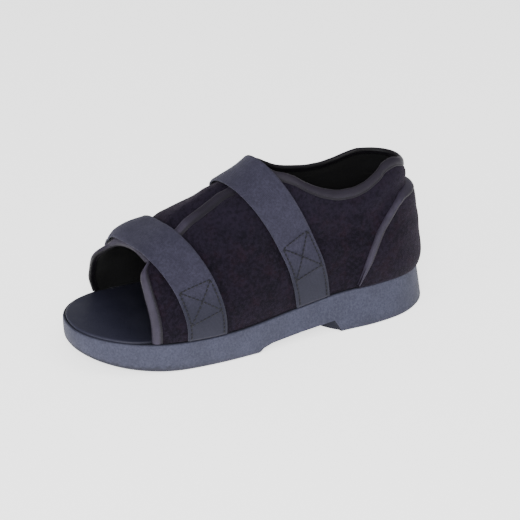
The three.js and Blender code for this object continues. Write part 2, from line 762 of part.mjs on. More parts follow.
// The shoe's box is centred on the origin.
const middle = new THREE.Box3().setFromObject(shoe).getCenter(new THREE.Vector3());
for (const mesh of shoe.children) mesh.geometry.translate(-middle.x, -middle.y, 0);

export default shoe;
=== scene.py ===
"""Post-operative shoe: the looks of each piece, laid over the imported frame."""

import math

import bmesh
import bpy
import numpy as np
from mathutils import Matrix, Vector


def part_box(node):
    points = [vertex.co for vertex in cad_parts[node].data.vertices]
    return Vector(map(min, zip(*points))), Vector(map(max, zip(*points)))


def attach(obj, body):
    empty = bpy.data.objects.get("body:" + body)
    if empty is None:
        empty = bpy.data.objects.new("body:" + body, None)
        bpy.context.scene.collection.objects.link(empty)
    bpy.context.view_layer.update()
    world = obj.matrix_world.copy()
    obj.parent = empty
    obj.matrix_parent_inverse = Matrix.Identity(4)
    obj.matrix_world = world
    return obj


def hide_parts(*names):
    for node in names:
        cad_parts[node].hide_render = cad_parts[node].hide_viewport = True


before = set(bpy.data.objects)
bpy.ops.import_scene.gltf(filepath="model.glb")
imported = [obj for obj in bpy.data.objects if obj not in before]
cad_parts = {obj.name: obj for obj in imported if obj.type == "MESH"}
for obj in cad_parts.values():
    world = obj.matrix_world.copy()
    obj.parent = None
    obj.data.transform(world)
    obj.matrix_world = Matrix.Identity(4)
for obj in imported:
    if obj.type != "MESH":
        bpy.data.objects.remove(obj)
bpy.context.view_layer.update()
MM = 0.001

# The sole, in millimetres, as the solids have it
SOLE_LENGTH = 282
BALL_WIDTH = 107
BALL_HEIGHT = 22.5
HEEL_HEIGHT = 30.5
TOE_LIFT = 8
TOE_LIFT_START = 0.72
TOE_LIFT_END = 1.12
WEDGE_START = 0.2
WEDGE_END = 0.68
ROCKER_LIFT = 13.5
ROCKER_LENGTH = 82
EDGE_RADIUS = 3
RIM_RADIUS = 1.1
HEEL_FLARE = 5.5
FOREFOOT_UNDERCUT = 0.4
ARCH_DEPTH = 10.3
HEEL_BREAST = 82
FOREFOOT_PAD_END = 152
BREAST_BOW = 16
BREAST_LEAN = 6

# The upper
WALL = 2.3
INSTEP_HEIGHT = 99
BACK_HEIGHT = 114
THROAT_PLACE = 0.475
RIM_SET_BACK = 1.5
HEEL_SWELL = 3.2
SIDE_SWELL = 1.2
SWELL_TOP = 0.42
HEEL_CENTRE = 44
TURN_START = 0.62
FLAP_LAP = 15
FOREFOOT_FULL = 3.9
CREST_FULL = 2.9
NAPE_PRESS = 4.2
NAPE_RETURN = 2.5
HEEL_FULL = 1.8
HEEL_WAIST = 1.7
REAR_FULL = 1.0
STRAP_DIP = 1.1
THROAT_END = 0.386
COLLAR_FAR_END = 0.424
EDGE_STEPS = 160
GRID_STEP = {"along": (0.03, 0), "up": (0, -0.05)}
CORNER_RADIUS = 25

# Insole, tape, counter and straps
INSOLE_THICKNESS = 4.5
INSOLE_RECESS = 3.5
INSOLE_MARGIN = 4.7
TOE_MARGIN = 2.8
TOE_LIP = 1.7
TAPE_THICKNESS = 0.8
TAPE_GAP = 0.56
TAPE_STEP = 1.2
PUCKER_PITCH = 1.35
BINDING = 6.3
BINDING_INSIDE = 3.0
COUNTER_BINDING = 3.9
COUNTER_THICKNESS = 1.6
STRAP_WIDTH = 29
STRAP_THICKNESS = 1.6
STRAP_START = 1.2
HEM_HEIGHT = 0.7
SQUEEZE = 2.8
GAP = 0.3
STEP = 0.002
HALF = SOLE_LENGTH / 2

# The width of a slab's weave map in millimetres, and where its bands of painted shade lie, in
# metres
LEVEL_SPAN = 120
GROUND_SHADE_LEVEL = (0.0455, 0.0515)
RIM_LEVEL = (0.0695, 0.0785)
TRAY_LEVEL = (0.0795, 0.0835)

PLAN = {
    "along": [
        0.966, 0.95, 0.89, 0.78, 0.6, 0.4, 0.17, -0.12, -0.4, -0.62, -0.8, -0.92, -0.98, -1.0,
    ],
    "out": [0, 0.27, 0.535, 0.765, 0.94, 1.0, 0.995, 0.885, 0.79, 0.775, 0.675, 0.475, 0.25, 0],
}
SECTIONS = {
    "place": [0.0, 0.12, 0.3, 0.42, 0.5, 0.6, 0.72, 0.8, 0.85, 0.9],
    "rise": [1.04, 0.98, 0.98, 1.05, 0.965, 0.84, 0.7, 0.6, 0.495, 0.455],
    "square": [2.55, 2.1, 1.95, 1.95, 2.05, 2.1, 2.2, 2.3, 2.35, 2.4],
}
COLLAR_EDGE = {
    "place": [
        0.05, 0.075, 0.1, 0.132, 0.152, 0.17, 0.2,
        0.24, 0.267, 0.31, 0.36, 0.396, 0.425, 0.47,
    ],
    "left": [
        0.989, 1.011, 1.026, 1.01, 0.978, 0.955, 0.924,
        0.904, 0.903, 0.926, 0.983, 1.04, 1.07, 1.09,
    ],
    "right": [
        0.989, 0.987, 0.988, 0.987, 0.973, 0.957, 0.929,
        0.911, 0.911, 0.924, 0.946, 0.985, 1.025, 1.08,
    ],
}
FRONT_EDGE = {
    "degrees": [0, 22, 44, 56, 66, 84, 130],
    "left": [0.818, 0.819, 0.824, 0.824, 0.809, 0.788, 0.767],
    "right": [0.857, 0.87, 0.87, 0.858, 0.837, 0.82, 0.793],
}
THROAT_EDGE = {
    "place": [0.46, 0.54, 0.62, 0.71, 0.81],
    "left": [-0.03, 0.08, 0.15, 0.24, 0.41],
    "right": [0.02, 0.24, 0.4, 0.5, 0.6],
}
COUNTER_EDGE = {
    "place": [0.0, 0.05, 0.083, 0.109, 0.146, 0.175, 0.201, 0.219, 0.242],
    "height": [0.747, 0.747, 0.74, 0.7, 0.59, 0.478, 0.333, 0.2, 0.03],
}
STRAPS = {
    "front_strap": {
        "base": 0.68, "low": 0, "high": 34, "skew": 0.205, "end": 34,
        "box_low": (19, 12), "box_top": (42, 37.5),
    },
    "rear_strap": {
        "base": 0.3685, "low": 7.4, "high": 28.9, "skew": 0.17, "end": 46,
        "box_low": (28, 21), "box_top": (57, 46.5),
    },
}
STRAP_STAND_OFF = {
    "degrees": [0, 25, 45, 90, 114, 136, 170],
    "gap": [0.4, 0.5, 1.7, 1.9, 2.6, 2.0, 0.6],
}


def mix(a, b, t):
    return a + (b - a) * t


def ease(start, end, value):
    t = np.clip((value - start) / (end - start), 0, 1)
    return t * t * (3 - 2 * t)


def read(table, key, column, value):
    """A column of a table at a key, along a smooth curve through its rows."""
    keys, values = np.array(table[key], float), np.array(table[column], float)
    slope = np.diff(values) / np.diff(keys)
    product, total = slope[:-1] * slope[1:], slope[:-1] + slope[1:]
    inner = np.where(product > 0, 2 * product / np.where(product > 0, total, 1), 0)
    tangent = np.concatenate([slope[:1], inner, slope[-1:]])
    at = np.clip(value, keys[0], keys[-1])
    i = np.clip(np.searchsorted(keys, at) - 1, 0, len(keys) - 2)
    span = keys[i + 1] - keys[i]
    t = (at - keys[i]) / span
    t2, t3 = t * t, t * t * t
    return (
        (2 * t3 - 3 * t2 + 1) * values[i]
        + (t3 - 2 * t2 + t) * span * tangent[i]
        + (3 * t2 - 2 * t3) * values[i + 1]
        + (t3 - t2) * span * tangent[i + 1]
    )


def place_of(x):
    return (x + HALF) / SOLE_LENGTH


def x_of(place):
    return place * SOLE_LENGTH - HALF


def run_of(points):
    """The distance along a line of points, in millimetres."""
    return np.concatenate([[0], np.cumsum(np.linalg.norm(np.diff(points, axis=0), axis=1))])


def rim_table():
    """Half of the sole's plan from toe tip to heel tip, as even steps along a smooth curve."""
    left = np.array([(a * HALF, o * BALL_WIDTH / 2) for a, o in zip(PLAN["along"], PLAN["out"])])
    ring = np.concatenate([left, left[-2:0:-1] * (1, -1)])
    count = len(ring)
    dense = []
    for i in range(len(left) - 1):
        p = [ring[(i + k) % count] for k in (-1, 0, 1, 2)]
        d = [np.linalg.norm(p[k + 1] - p[k]) ** 0.5 for k in range(3)]
        t1 = ((p[1] - p[0]) / d[0] - (p[2] - p[0]) / (d[0] + d[1]) + (p[2] - p[1]) / d[1]) * d[1]
        t2 = ((p[2] - p[1]) / d[1] - (p[3] - p[1]) / (d[1] + d[2]) + (p[3] - p[2]) / d[2]) * d[1]
        t = np.linspace(0, 1, 200, endpoint=i == len(left) - 2)[:, None]
        c2, c3 = -3 * p[1] + 3 * p[2] - 2 * t1 - t2, 2 * p[1] - 2 * p[2] + t1 + t2
        dense.append(p[1] + t * t1 + t * t * c2 + t**3 * c3)
    dense = np.concatenate(dense)
    run = run_of(dense)
    share = np.linspace(0, 1, 1601)
    x, y = (np.interp(share, run / run[-1], dense[:, k]) for k in (0, 1))
    tx, ty = np.gradient(x), np.gradient(y)
    tx[[0, -1]] = 0
    long = np.hypot(tx, ty)
    return share, x, y, tx / long, ty / long, run[-1]


RIM_SHARE, RIM_X, RIM_Y, RIM_TX, RIM_TY, RIM_RUN = rim_table()


def rim(side, around, inset=0.0):
    """The sole's rim, from 0 at the toe to 1 at the heel, moved in by inset."""
    x, y, tx, ty = (np.interp(around, RIM_SHARE, c) for c in (RIM_X, RIM_Y, RIM_TX, RIM_TY))
    return x - inset * ty, side * (y + inset * tx)


def around_at(x):
    return np.interp(-np.asarray(x, float), -RIM_X, RIM_SHARE)


def rim_height(x):
    wedge = mix(HEEL_HEIGHT, BALL_HEIGHT, ease(WEDGE_START, WEDGE_END, place_of(x)))
    return wedge + TOE_LIFT * ease(TOE_LIFT_START, TOE_LIFT_END, place_of(x))


def sole_bottom(x):
    return ROCKER_LIFT * np.maximum(0, (x - HALF + ROCKER_LENGTH) / ROCKER_LENGTH) ** 2


def last_point(side, around, degrees):
    """The last, ribbed from the rim: degrees go up the rib from the sole and over the crest."""
    side, around, degrees = np.broadcast_arrays(side, around, degrees)
    foot_x, foot_y = rim(1, around, RIM_SET_BACK)
    turn = ease(TURN_START, 1, around)
    centre = mix(foot_x, HEEL_CENTRE - HALF, turn)
    reach = np.hypot(foot_x - centre, foot_y)
    place = place_of(foot_x)
    rise = INSTEP_HEIGHT * read(SECTIONS, "place", "rise", place)
    square = read(SECTIONS, "place", "square", place)
    c, s = np.cos(np.radians(degrees)), np.sin(np.radians(degrees))
    radius = (np.abs(c / reach) ** square + np.abs(s / rise) ** square) ** (-1 / square)
    height = radius * s
    swell = mix(SIDE_SWELL, HEEL_SWELL, ease(0.7, 1, around))
    bulge = np.where(c > 0, swell * np.sin(np.pi * np.minimum(1, height / (rise * SWELL_TOP))), 0)
    out = (radius * c + bulge) / reach
    return np.stack([
        centre + (foot_x - centre) * out,
        side * foot_y * out,
        rim_height(foot_x) + GAP + height,
    ], axis=-1)


def last_frame(side, around, degrees):
    """A point of the last, the ways along the rim and up the rib, and the way out."""
    side, around, degrees = np.broadcast_arrays(side, around, degrees)
    at = last_point(side, around, degrees)
    step = np.where(around > 0.99, -STEP, STEP)
    along = (last_point(side, around + step, degrees) - at) / step[..., None]
    heel = around > 0.999
    length = np.linalg.norm(along, axis=-1)
    straight = np.stack([length * 0, -side * length, length * 0], axis=-1)
    along = np.where(heel[..., None], straight, along)
    up = (last_point(side, around, degrees + 1) - last_point(side, around, degrees - 1)) / 2
    normal = np.cross(up, along) * -side[..., None]
    return at, along, up, normal / np.linalg.norm(normal, axis=-1, keepdims=True)


def throat_edge(column, x):
    return read(THROAT_EDGE, "place", column, place_of(x)) * BALL_WIDTH / 2


def flap_drop(side, around, point):
    """How far the right flap is lowered where it runs under the left one."""
    drop = WALL + 2 * (TAPE_THICKNESS + TAPE_GAP) + 1.5 * GAP
    edge = throat_edge("left", point[..., 0])
    lap = ease(edge - FLAP_LAP, edge - 0.2 * FLAP_LAP, point[..., 1])
    return np.where(side > 0, 0, drop * (1 - ease(0.64, 0.74, around)) * lap)


def ahead_of(strap, point):
    """How far a point is ahead of a strap's middle line."""
    x, y, z = point[..., 0], point[..., 1], point[..., 2]
    foot = x_of(strap["base"])
    slope = math.tan(math.radians(strap["low"]))
    bend = (math.tan(math.radians(strap["high"])) - slope) / (2 * INSTEP_HEIGHT)
    height = np.maximum(0, z - rim_height(foot))
    tilt = np.arctan(slope + 2 * bend * height)
    drift = strap["skew"] * (BALL_WIDTH / 2 - y)
    return (x - foot - slope * height - bend * height * height - drift) * np.cos(tilt)


def squeeze(point, degrees):
    """How deep the straps press the cloth in."""
    high = ease(30, 60, np.minimum(degrees, 180 - degrees))
    near = [
        1 - ease(STRAP_WIDTH / 2 - 1, STRAP_WIDTH / 2 + 12, np.abs(ahead_of(strap, point)))
        for strap in STRAPS.values()
    ]
    return SQUEEZE * high * np.maximum(*near)


def hump(value, centre, width):
    """A bell curve, 1 at its centre."""
    return np.exp(-(((value - centre) / width) ** 2))


def fuller(point):
    """How much further the cloth stands out than the last. Below zero it is pressed in."""
    x, y, z = point[..., 0], point[..., 1], point[..., 2]
    place = place_of(x)
    back = 1 - ease(0.05, 0.16, place)
    fore = ease(0.67, 0.79, place) * (1 - ease(0.8, 0.855, place))
    return (
        FOREFOOT_FULL * fore * hump(y, -24, 15) * ease(38, 58, z)
        + CREST_FULL * hump(place, 0.437, 0.05) * hump(y, -8, 20) * ease(85, 110, z)
        - back * (NAPE_PRESS * ease(88, 94, z) - NAPE_RETURN * ease(96, 103, z))
        + back * (HEEL_FULL * hump(z, 35, 10) - HEEL_WAIST * hump(z, 56, 11))
        + REAR_FULL * hump(place, 0.545, 0.045) * hump(y, -22, 14) * ease(70, 92, z)
        - STRAP_DIP * hump(place, 0.61, 0.045) * hump(y, -14, 18) * ease(75, 92, z)
    )


def skin(side, around, degrees, height):
    """A point of the upper's outer face, moved out along its normal."""
    at, _, _, normal = last_frame(side, around, degrees)
    pressed = squeeze(at, degrees) + flap_drop(side, around, at) - fuller(at)
    return at + normal * (height - pressed)[..., None]


def halved(low, high, past, steps=26):
    """The values between low and high from which past is true, found by halving."""
    for _ in range(steps):
        middle = (low + high) / 2
        beyond = past(middle)
        low, high = np.where(beyond, low, middle), np.where(beyond, middle, high)
    return (low + high) / 2


def solve_degrees(side, around, reached):
    low, high = np.zeros_like(around), np.full_like(around, 178.0)
    return halved(low, high, lambda degrees: reached(last_point(side, around, degrees)))


def top_degrees(side, around):
    """The upper edge on a rib: the collar behind the throat, the flap's free edge before it."""
    column = "left" if side > 0 else "right"
    x, _ = rim(side, around, RIM_SET_BACK)
    crest = mix(rim_height(x), last_point(side, around, 90)[..., 2], 0.985)

    def at_collar(p):
        edge = read(COLLAR_EDGE, "place", column, place_of(p[..., 0])) * BACK_HEIGHT
        return p[..., 2] >= np.minimum(crest, edge)

    throat = x_of(THROAT_PLACE)
    before = ease(throat - 13, throat + 13, x)
    edge = throat_edge(column, x)
    collar = solve_degrees(side, around, at_collar)
    flap = solve_degrees(side, around, lambda p: side * (p[..., 1] - edge) <= 0)
    return mix(collar, flap, before)


TOP_AROUND = np.linspace(0.12, 1, 900)
TOP = {side: top_degrees(side, TOP_AROUND) for side in (1, -1)}


def spot(side, a, b, corner=True):
    """Where the upper has a place: a from the toe opening to the back, b from sole to top."""
    a, b = np.broadcast_arrays(np.asarray(a, float), np.asarray(b, float))
    if corner:
        along, up = CORNER_SIZE[side]
        x, y = a * along / CORNER_RADIUS, (1 - b) * up / CORNER_RADIUS
        cut = 0.25 * np.clip(1 - x, 0, 1) ** 2 * np.clip(1 - y, 0, 1) ** 2
        a, b = a + cut * CORNER_RADIUS / along, b - cut * CORNER_RADIUS / up
    column = "left" if side > 0 else "right"
    around = mix(0.2, 1, a)
    for _ in range(10):
        degrees = b * np.interp(around, TOP_AROUND, TOP[side])
        front = around_at(x_of(read(FRONT_EDGE, "degrees", column, degrees)))
        around = mix(front, 1, a)
    return around, b * np.interp(around, TOP_AROUND, TOP[side])


def corner_size(side):
    """Millimetres per whole grid at the flap's front top corner."""
    ends = [last_point(side, *spot(side, a, b, False)) for a, b in ((0, 1), (0.04, 1), (0, 0.94))]
    return np.linalg.norm(ends[1] - ends[0]) / 0.04, np.linalg.norm(ends[2] - ends[0]) / 0.06


CORNER_SIZE = {side: corner_size(side) for side in (1, -1)}

insole_low, insole_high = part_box("insole")
SHIFT = np.array([
    insole_high.x / MM - (PLAN["along"][0] * HALF - TOE_MARGIN - GAP),
    (insole_low.y + insole_high.y) / 2 / MM,
    0,
])


def placed(points):
    """Millimetres about the middle of the sole, as metres in the shoe's frame."""
    return (points + SHIFT) * MM


class Link:
    """A socket's value. Sums with it add Math nodes to its finish."""

    def __init__(self, finish, socket):
        self.finish, self.socket = finish, socket

    def sum(self, operation, *values):
        return self.finish.node("Math", {"operation": operation}, dict(enumerate(values)))

    def __add__(self, other):
        return self.sum("ADD", self, other)

    def __sub__(self, other):
        return self.sum("SUBTRACT", self, other)

    def __rsub__(self, other):
        return self.sum("SUBTRACT", other, self)

    def __mul__(self, other):
        return self.sum("MULTIPLY", self, other)

    __radd__, __rmul__ = __add__, __mul__

    def size(self):
        return self.sum("ABSOLUTE", self)

    def wave(self, pitch):
        """A sine from 0 to 1 that repeats at each pitch."""
        return self.sum("SINE", self * (2 * math.pi / pitch)) * 0.5 + 0.5


class Finish:
    """A material in the making: constants go on the shader's sockets, the rest comes as links."""

    def __init__(self, name, color=None, **constants):
        self.color = color
        self.material = bpy.data.materials.new(name)
        self.material.use_nodes = True
        self.tree = self.material.node_tree
        self.shader = self.tree.nodes["Principled BSDF"]
        for socket, value in constants.items():
            self.give(self.shader.inputs[socket.replace("_", " ")], value)

    def give(self, socket, value):
        if isinstance(value, Link):
            self.tree.links.new(value.socket, socket)
        elif isinstance(value, tuple) and len(value) == 3 and socket.type == "RGBA":
            socket.default_value = (*value, 1)
        else:
            socket.default_value = value

    def node(self, kind, settings=None, sockets=None, output=0):
        node = self.tree.nodes.new("ShaderNode" + kind)
        for key, value in (settings or {}).items():
            setattr(node, key, value)
        for key, value in (sockets or {}).items():
            self.give(node.inputs[key], value)
        return Link(self, node.outputs[output])

    def place(self):
        return self.node("TexCoord", output="Object")

    def coordinate(self, axis):
        """A point's place on an axis of the shoe in metres, 0 for X and 2 for Z."""
        return self.node("SeparateXYZ", sockets={0: self.place()}, output=axis)

    def weave(self):
        """How far along and across its own strip a point is, in metres."""
        along = self.node("SeparateXYZ", sockets={0: self.node("UVMap", {"uv_map": "weave"})})
        return along, Link(self, along.socket.node.outputs[1])

    def noise(self, size, detail=3.0, roughness=0.6, stretch=(1, 1, 1)):
        """Noise from 0 to 1 whose lumps are about size millimetres."""
        at = self.node("Mapping", sockets={"Vector": self.place(), "Scale": stretch})
        sockets = {
            "Vector": at, "Scale": 1 / (size * MM), "Detail": detail, "Roughness": roughness,
        }
        return self.node("TexNoise", sockets=sockets)

    def between(self, value, low, high):
        """0 to 1 as a value goes from low to high."""
        sockets = {"Value": value, "From Min": low, "From Max": high}
        return self.node("MapRange", {"interpolation_type": "SMOOTHSTEP"}, sockets)

    def blend(self, share, first, second):
        sockets = {0: share, 6: first, 7: second}
        return self.node("Mix", {"data_type": "RGBA"}, sockets, output=2)

    def lay(self, share, tint):
        """Lays a share of a tint over the colour so far."""
        self.color = self.blend(share, self.color, tint)

    def finish(self, roughness, *bumps):
        """Plugs in the colour and roughness, and bumps as pairs of height and depth in mm."""
        self.give(self.shader.inputs["Base Color"], self.color)
        self.give(self.shader.inputs["Roughness"], roughness)
        normal = None
        for height, depth in bumps:
            sockets = {"Height": height, "Distance": depth * MM, "Strength": 1.0}
            if normal is not None:
                sockets["Normal"] = normal
            normal = self.node("Bump", sockets=sockets)
        if normal is not None:
            self.give(self.shader.inputs["Normal"], normal)
        return self.material


def brushed_cloth():
    """Near-black looped pile, brushed up, with a purple and brown cast that wanders."""
    cloth = Finish("brushed_cloth", Sheen_Weight=0.07, Sheen_Roughness=0.5,
                   Sheen_Tint=(0.6, 0.5, 0.66), Specular_IOR_Level=0.06)
    patch = cloth.between(cloth.noise(16, 2), 0.35, 0.65)
    warm = cloth.between(cloth.noise(9), 0.45, 0.7)
    fuzz = cloth.noise(0.9, 3, 0.75)
    lint = cloth.between(cloth.noise(1.4, 2, 0.5), 0.68, 0.78)
    tufts = cloth.noise(2.6)
    # Painted light: the cloth is laid paler toward the top of the upper.
    top = cloth.between(cloth.coordinate(2), 66 * MM, 104 * MM)
    cloth.color = cloth.blend(patch, (0.0022, 0.0018, 0.0038), (0.0054, 0.0034, 0.0076))
    cloth.lay(warm * 0.75, (0.0102, 0.004, 0.0074))
    cloth.lay(cloth.between(fuzz, 0.43, 0.64) * 0.62, (0.0118, 0.0094, 0.017))
    cloth.lay(top * 0.5, (0.0135, 0.0108, 0.0205))
    cloth.lay(lint * 0.25, (0.04, 0.035, 0.046))
    cloth.lay(cloth.between(tufts, 0.47, 0.62) * 0.5, (0.0128, 0.0096, 0.018))
    cloth.lay(cloth.between(tufts, 0.5, 0.36) * 0.5, (0.0025, 0.002, 0.004))
    cloth.lay(0.08, (0.0, 0.0, 0.0))
    return cloth.finish(fuzz * 0.15 + 0.82, (tufts, 0.5), (fuzz, 0.5))


def black_lining():
    """Thin black knit inside the upper."""
    lining = Finish("black_lining", Sheen_Weight=0.03, Specular_IOR_Level=0.15)
    knit = lining.noise(0.8, 2)
    lining.color = lining.blend(knit, (0.0018, 0.0018, 0.0022), (0.0045, 0.0045, 0.005))
    return lining.finish(0.92, (knit, 0.2))


def woven_webbing():
    """Flat blue-grey webbing: fine ribs across, crossed by warp threads, darker by the sole."""
    webbing = Finish("woven_webbing", Sheen_Weight=0.08, Sheen_Roughness=0.5,
                     Sheen_Tint=(0.7, 0.7, 0.85), Specular_IOR_Level=0.2)
    along, across = webbing.weave()
    cloth = along.wave(0.9 * MM) * 0.6 + across.wave(0.75 * MM) * 0.4
    wear = webbing.between(webbing.noise(7), 0.35, 0.7)
    speck = webbing.noise(1.7, 3, 0.75)
    low = 1 - webbing.between(along, 16 * MM, 46 * MM)
    # A painted highlight along both edges of the strap.
    rim = webbing.between((across - STRAP_WIDTH / 2 * MM).size(), 13.2 * MM, 14.2 * MM)
    webbing.color = webbing.blend(cloth * 0.75, (0.0152, 0.0138, 0.0262), (0.033, 0.031, 0.0555))
    webbing.lay(wear * 0.35, (0.041, 0.0385, 0.065))
    webbing.lay(webbing.between(speck, 0.42, 0.6) * 0.55, (0.0125, 0.0117, 0.0225))
    webbing.lay(low * 0.8, (0.0108, 0.0112, 0.0195))
    webbing.lay(rim * 0.25, (0.06, 0.061, 0.088))
    return webbing.finish(0.78, (speck, 0.12), (cloth, 0.16))


def satin_tape():
    """Grey-violet binding with fine ribs and a soft sheen, a painted highlight over its outer face
    up to the fold, and painted shade round the collar and where it turns inside.
    """
    tape = Finish("satin_tape", Sheen_Weight=0.025, Sheen_Roughness=0.4,
                  Sheen_Tint=(0.75, 0.6, 0.85), Specular_IOR_Level=0.2)
    along, across = tape.weave()
    ribs, thread = across.wave(0.7 * MM), along.wave(1.3 * MM)
    # Random patches: rub in the roughness, and how strong the painted highlight is.
    rub_and_highlight_patches = tape.between(tape.noise(5), 0.4, 0.7)
    fold = tape.between(across, 6.2 * MM, 8.4 * MM)
    # Painted highlight from the outer face up to the fold, fading past it.
    painted_highlight = tape.between(across, 0.5 * MM, 3.2 * MM) * (1 - fold * 0.75)
    # Painted light and shade by height: the highlight's tint is paler low down and darker round the
    # collar.
    collar = tape.between(tape.coordinate(2), 93 * MM, 102 * MM)
    pale = tape.blend(collar, (0.045, 0.0373, 0.063), (0.0145, 0.0108, 0.0205))
    tape.color = tape.blend(ribs * 0.5, (0.0042, 0.0031, 0.006), (0.008, 0.006, 0.0115))
    tape.lay(painted_highlight * (rub_and_highlight_patches * 0.25 + 0.5), pale)
    tape.lay(tape.noise(1.0, 2, 0.7) * 0.4, (0.009, 0.0075, 0.0125))
    # Painted shade where the tape turns over the edge to the inside.
    tape.lay(tape.between(across, 7.6 * MM, 9 * MM), (0.0028, 0.0024, 0.0036))
    return tape.finish(rub_and_highlight_patches * 0.12 + 0.5, (ribs * 0.7 + thread * 0.3, 0.1))


def moulded_foam():
    """Blue-grey moulded foam: a matt pebbled skin with faint marks, scuffed low down, with painted
    shade along its ground edge, at its rim's top and in the insole's tray.
    """
    foam = Finish("moulded_foam", Specular_IOR_Level=0.25)
    cloud = foam.between(foam.noise(22), 0.3, 0.7)
    pebble = foam.noise(1.3, 4)
    grain = foam.noise(0.55, 2, 0.5)
    marks = foam.between(foam.noise(1.6, 2, 0.5, (1, 1, 0.6)), 0.5, 0.68)
    low = 1 - foam.between(foam.coordinate(2), 0.0, 7 * MM)
    scuff = foam.between(foam.noise(3.5, 4, 0.7), 0.52, 0.66) * low
    # Painted shade along the sole's underside and lower edge, stronger toward the toe.
    toe = foam.between(foam.coordinate(0), 30 * MM, 100 * MM) * 0.4 + 0.25
    _, level = foam.weave()
    painted_ground_shade = 1 - foam.between(level + foam.noise(4) * 0.012, *GROUND_SHADE_LEVEL)
    foam.color = foam.blend(cloud, (0.033, 0.0346, 0.057), (0.0425, 0.045, 0.0745))
    foam.lay(foam.between(pebble, 0.38, 0.62) * 0.6, (0.0215, 0.0228, 0.0395))
    foam.lay(marks * 0.4, (0.051, 0.0535, 0.084))
    foam.lay(scuff * 0.3, (0.085, 0.086, 0.108))
    # Lays the painted shade along the ground edge.
    foam.lay(painted_ground_shade * toe, (0.009, 0.009, 0.014))
    # Painted shade from the rim's top corner inward, where the upper meets the sole.
    foam.lay(foam.between(level, *RIM_LEVEL) * 0.4, (0.014, 0.0145, 0.024))
    # Deeper painted shade in the insole's tray, for the gap round the insole.
    foam.lay(foam.between(level, *TRAY_LEVEL) * 0.8, (0.006, 0.006, 0.0095))
    return foam.finish(pebble * 0.15 + 0.62, (pebble, 0.22), (grain, 0.1))


def shaded_foam():
    """The sole's foam in the arch, painted dark as shade."""
    foam = Finish("shaded_foam", Specular_IOR_Level=0.1)
    pebble = foam.noise(1.3, 4)
    foam.color = foam.blend(pebble, (0.009, 0.0095, 0.015), (0.016, 0.017, 0.026))
    return foam.finish(0.85, (pebble, 0.22))


def insole_foam():
    """Dark smooth sheet with a fine grain, with painted light that makes it paler toward the toe.
    """
    sheet = Finish("insole_foam", Specular_IOR_Level=0.25)
    grain = sheet.noise(0.7, 3, 0.55)
    stain = sheet.between(sheet.noise(18), 0.35, 0.7)
    # Painted light: paler toward the toe.
    toe = sheet.between(sheet.coordinate(0), 60 * MM, 128 * MM)
    sheet.color = sheet.blend(stain, (0.005, 0.005, 0.0086), (0.0082, 0.0083, 0.0138))
    sheet.lay(toe * 0.9, (0.0185, 0.019, 0.036))
    return sheet.finish(stain * 0.1 + 0.5, (grain, 0.12))


def sewing_thread(name, color):
    thread = Finish(name, Specular_IOR_Level=0.3)
    twist = thread.noise(0.5, 1, 0.5)
    thread.color = thread.blend(twist, color, tuple(1.6 * c for c in color))
    return thread.finish(0.7, (twist, 0.06))


CLOTH, LINING = brushed_cloth(), black_lining()
WEBBING, TAPE = woven_webbing(), satin_tape()
FOAM, ARCH_FOAM, INSOLE = moulded_foam(), shaded_foam(), insole_foam()
DARK_THREAD = sewing_thread("dark_thread", (0.003, 0.003, 0.0055))
TAPE_THREAD = sewing_thread("tape_thread", (0.012, 0.011, 0.016))


def laid(columns, rows, surface, extent):
    """A grid laid over surface(u, v), in millimetres, with its weave map as wide as extent."""
    bm = bmesh.new()
    weave = bm.loops.layers.uv.new("weave")
    bmesh.ops.create_grid(bm, x_segments=columns, y_segments=rows, size=0.5)
    bm.verts.index_update()
    share = np.array([v.co[:2] for v in bm.verts]) + 0.5
    for vert, point in zip(bm.verts, placed(surface(share[:, 0], share[:, 1]))):
        vert.co = point
    for face in bm.faces:
        for loop in face.loops:
            loop[weave].uv = share[loop.vert.index] * extent * MM
    bm.normal_update()
    return bm


def face_away(bm, middle):
    """Turns an open sheet so that its outer side faces away from a point, in metres."""
    def share(face):
        return (face.calc_center_median() - Vector(middle)).dot(face.normal) * face.calc_area()

    if sum(share(face) for face in bm.faces) < 0:
        bmesh.ops.reverse_faces(bm, faces=bm.faces)


def mesh_object(name, bm, materials):
    mesh = bpy.data.meshes.new(name)
    bm.to_mesh(mesh)
    bm.free()
    for material in materials:
        mesh.materials.append(material)
    obj = bpy.data.objects.new(name, mesh)
    bpy.context.scene.collection.objects.link(obj)
    return obj


def made(name, bm, materials, slot, *nodes):
    """A finished mesh as a piece of the shoe."""
    obj = mesh_object(name, bm, materials)
    obj.data.shade_smooth()
    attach(obj, "root")
    if nodes:
        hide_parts(*nodes)
    return obj


def thicken(obj, thickness, offset, inside=0):
    """Gives a sheet its thickness in millimetres, with its own finish inside."""
    wall = obj.modifiers.new("wall", "SOLIDIFY")
    wall.thickness, wall.offset = thickness * MM, offset
    wall.use_even_offset = False
    wall.material_offset = inside
    wall.material_offset_rim = 0


# Points inside the upper and the heel, in metres
INSIDE = (0, 0, 0.045)
IN_HEEL = (-0.09, 0, 0.05)

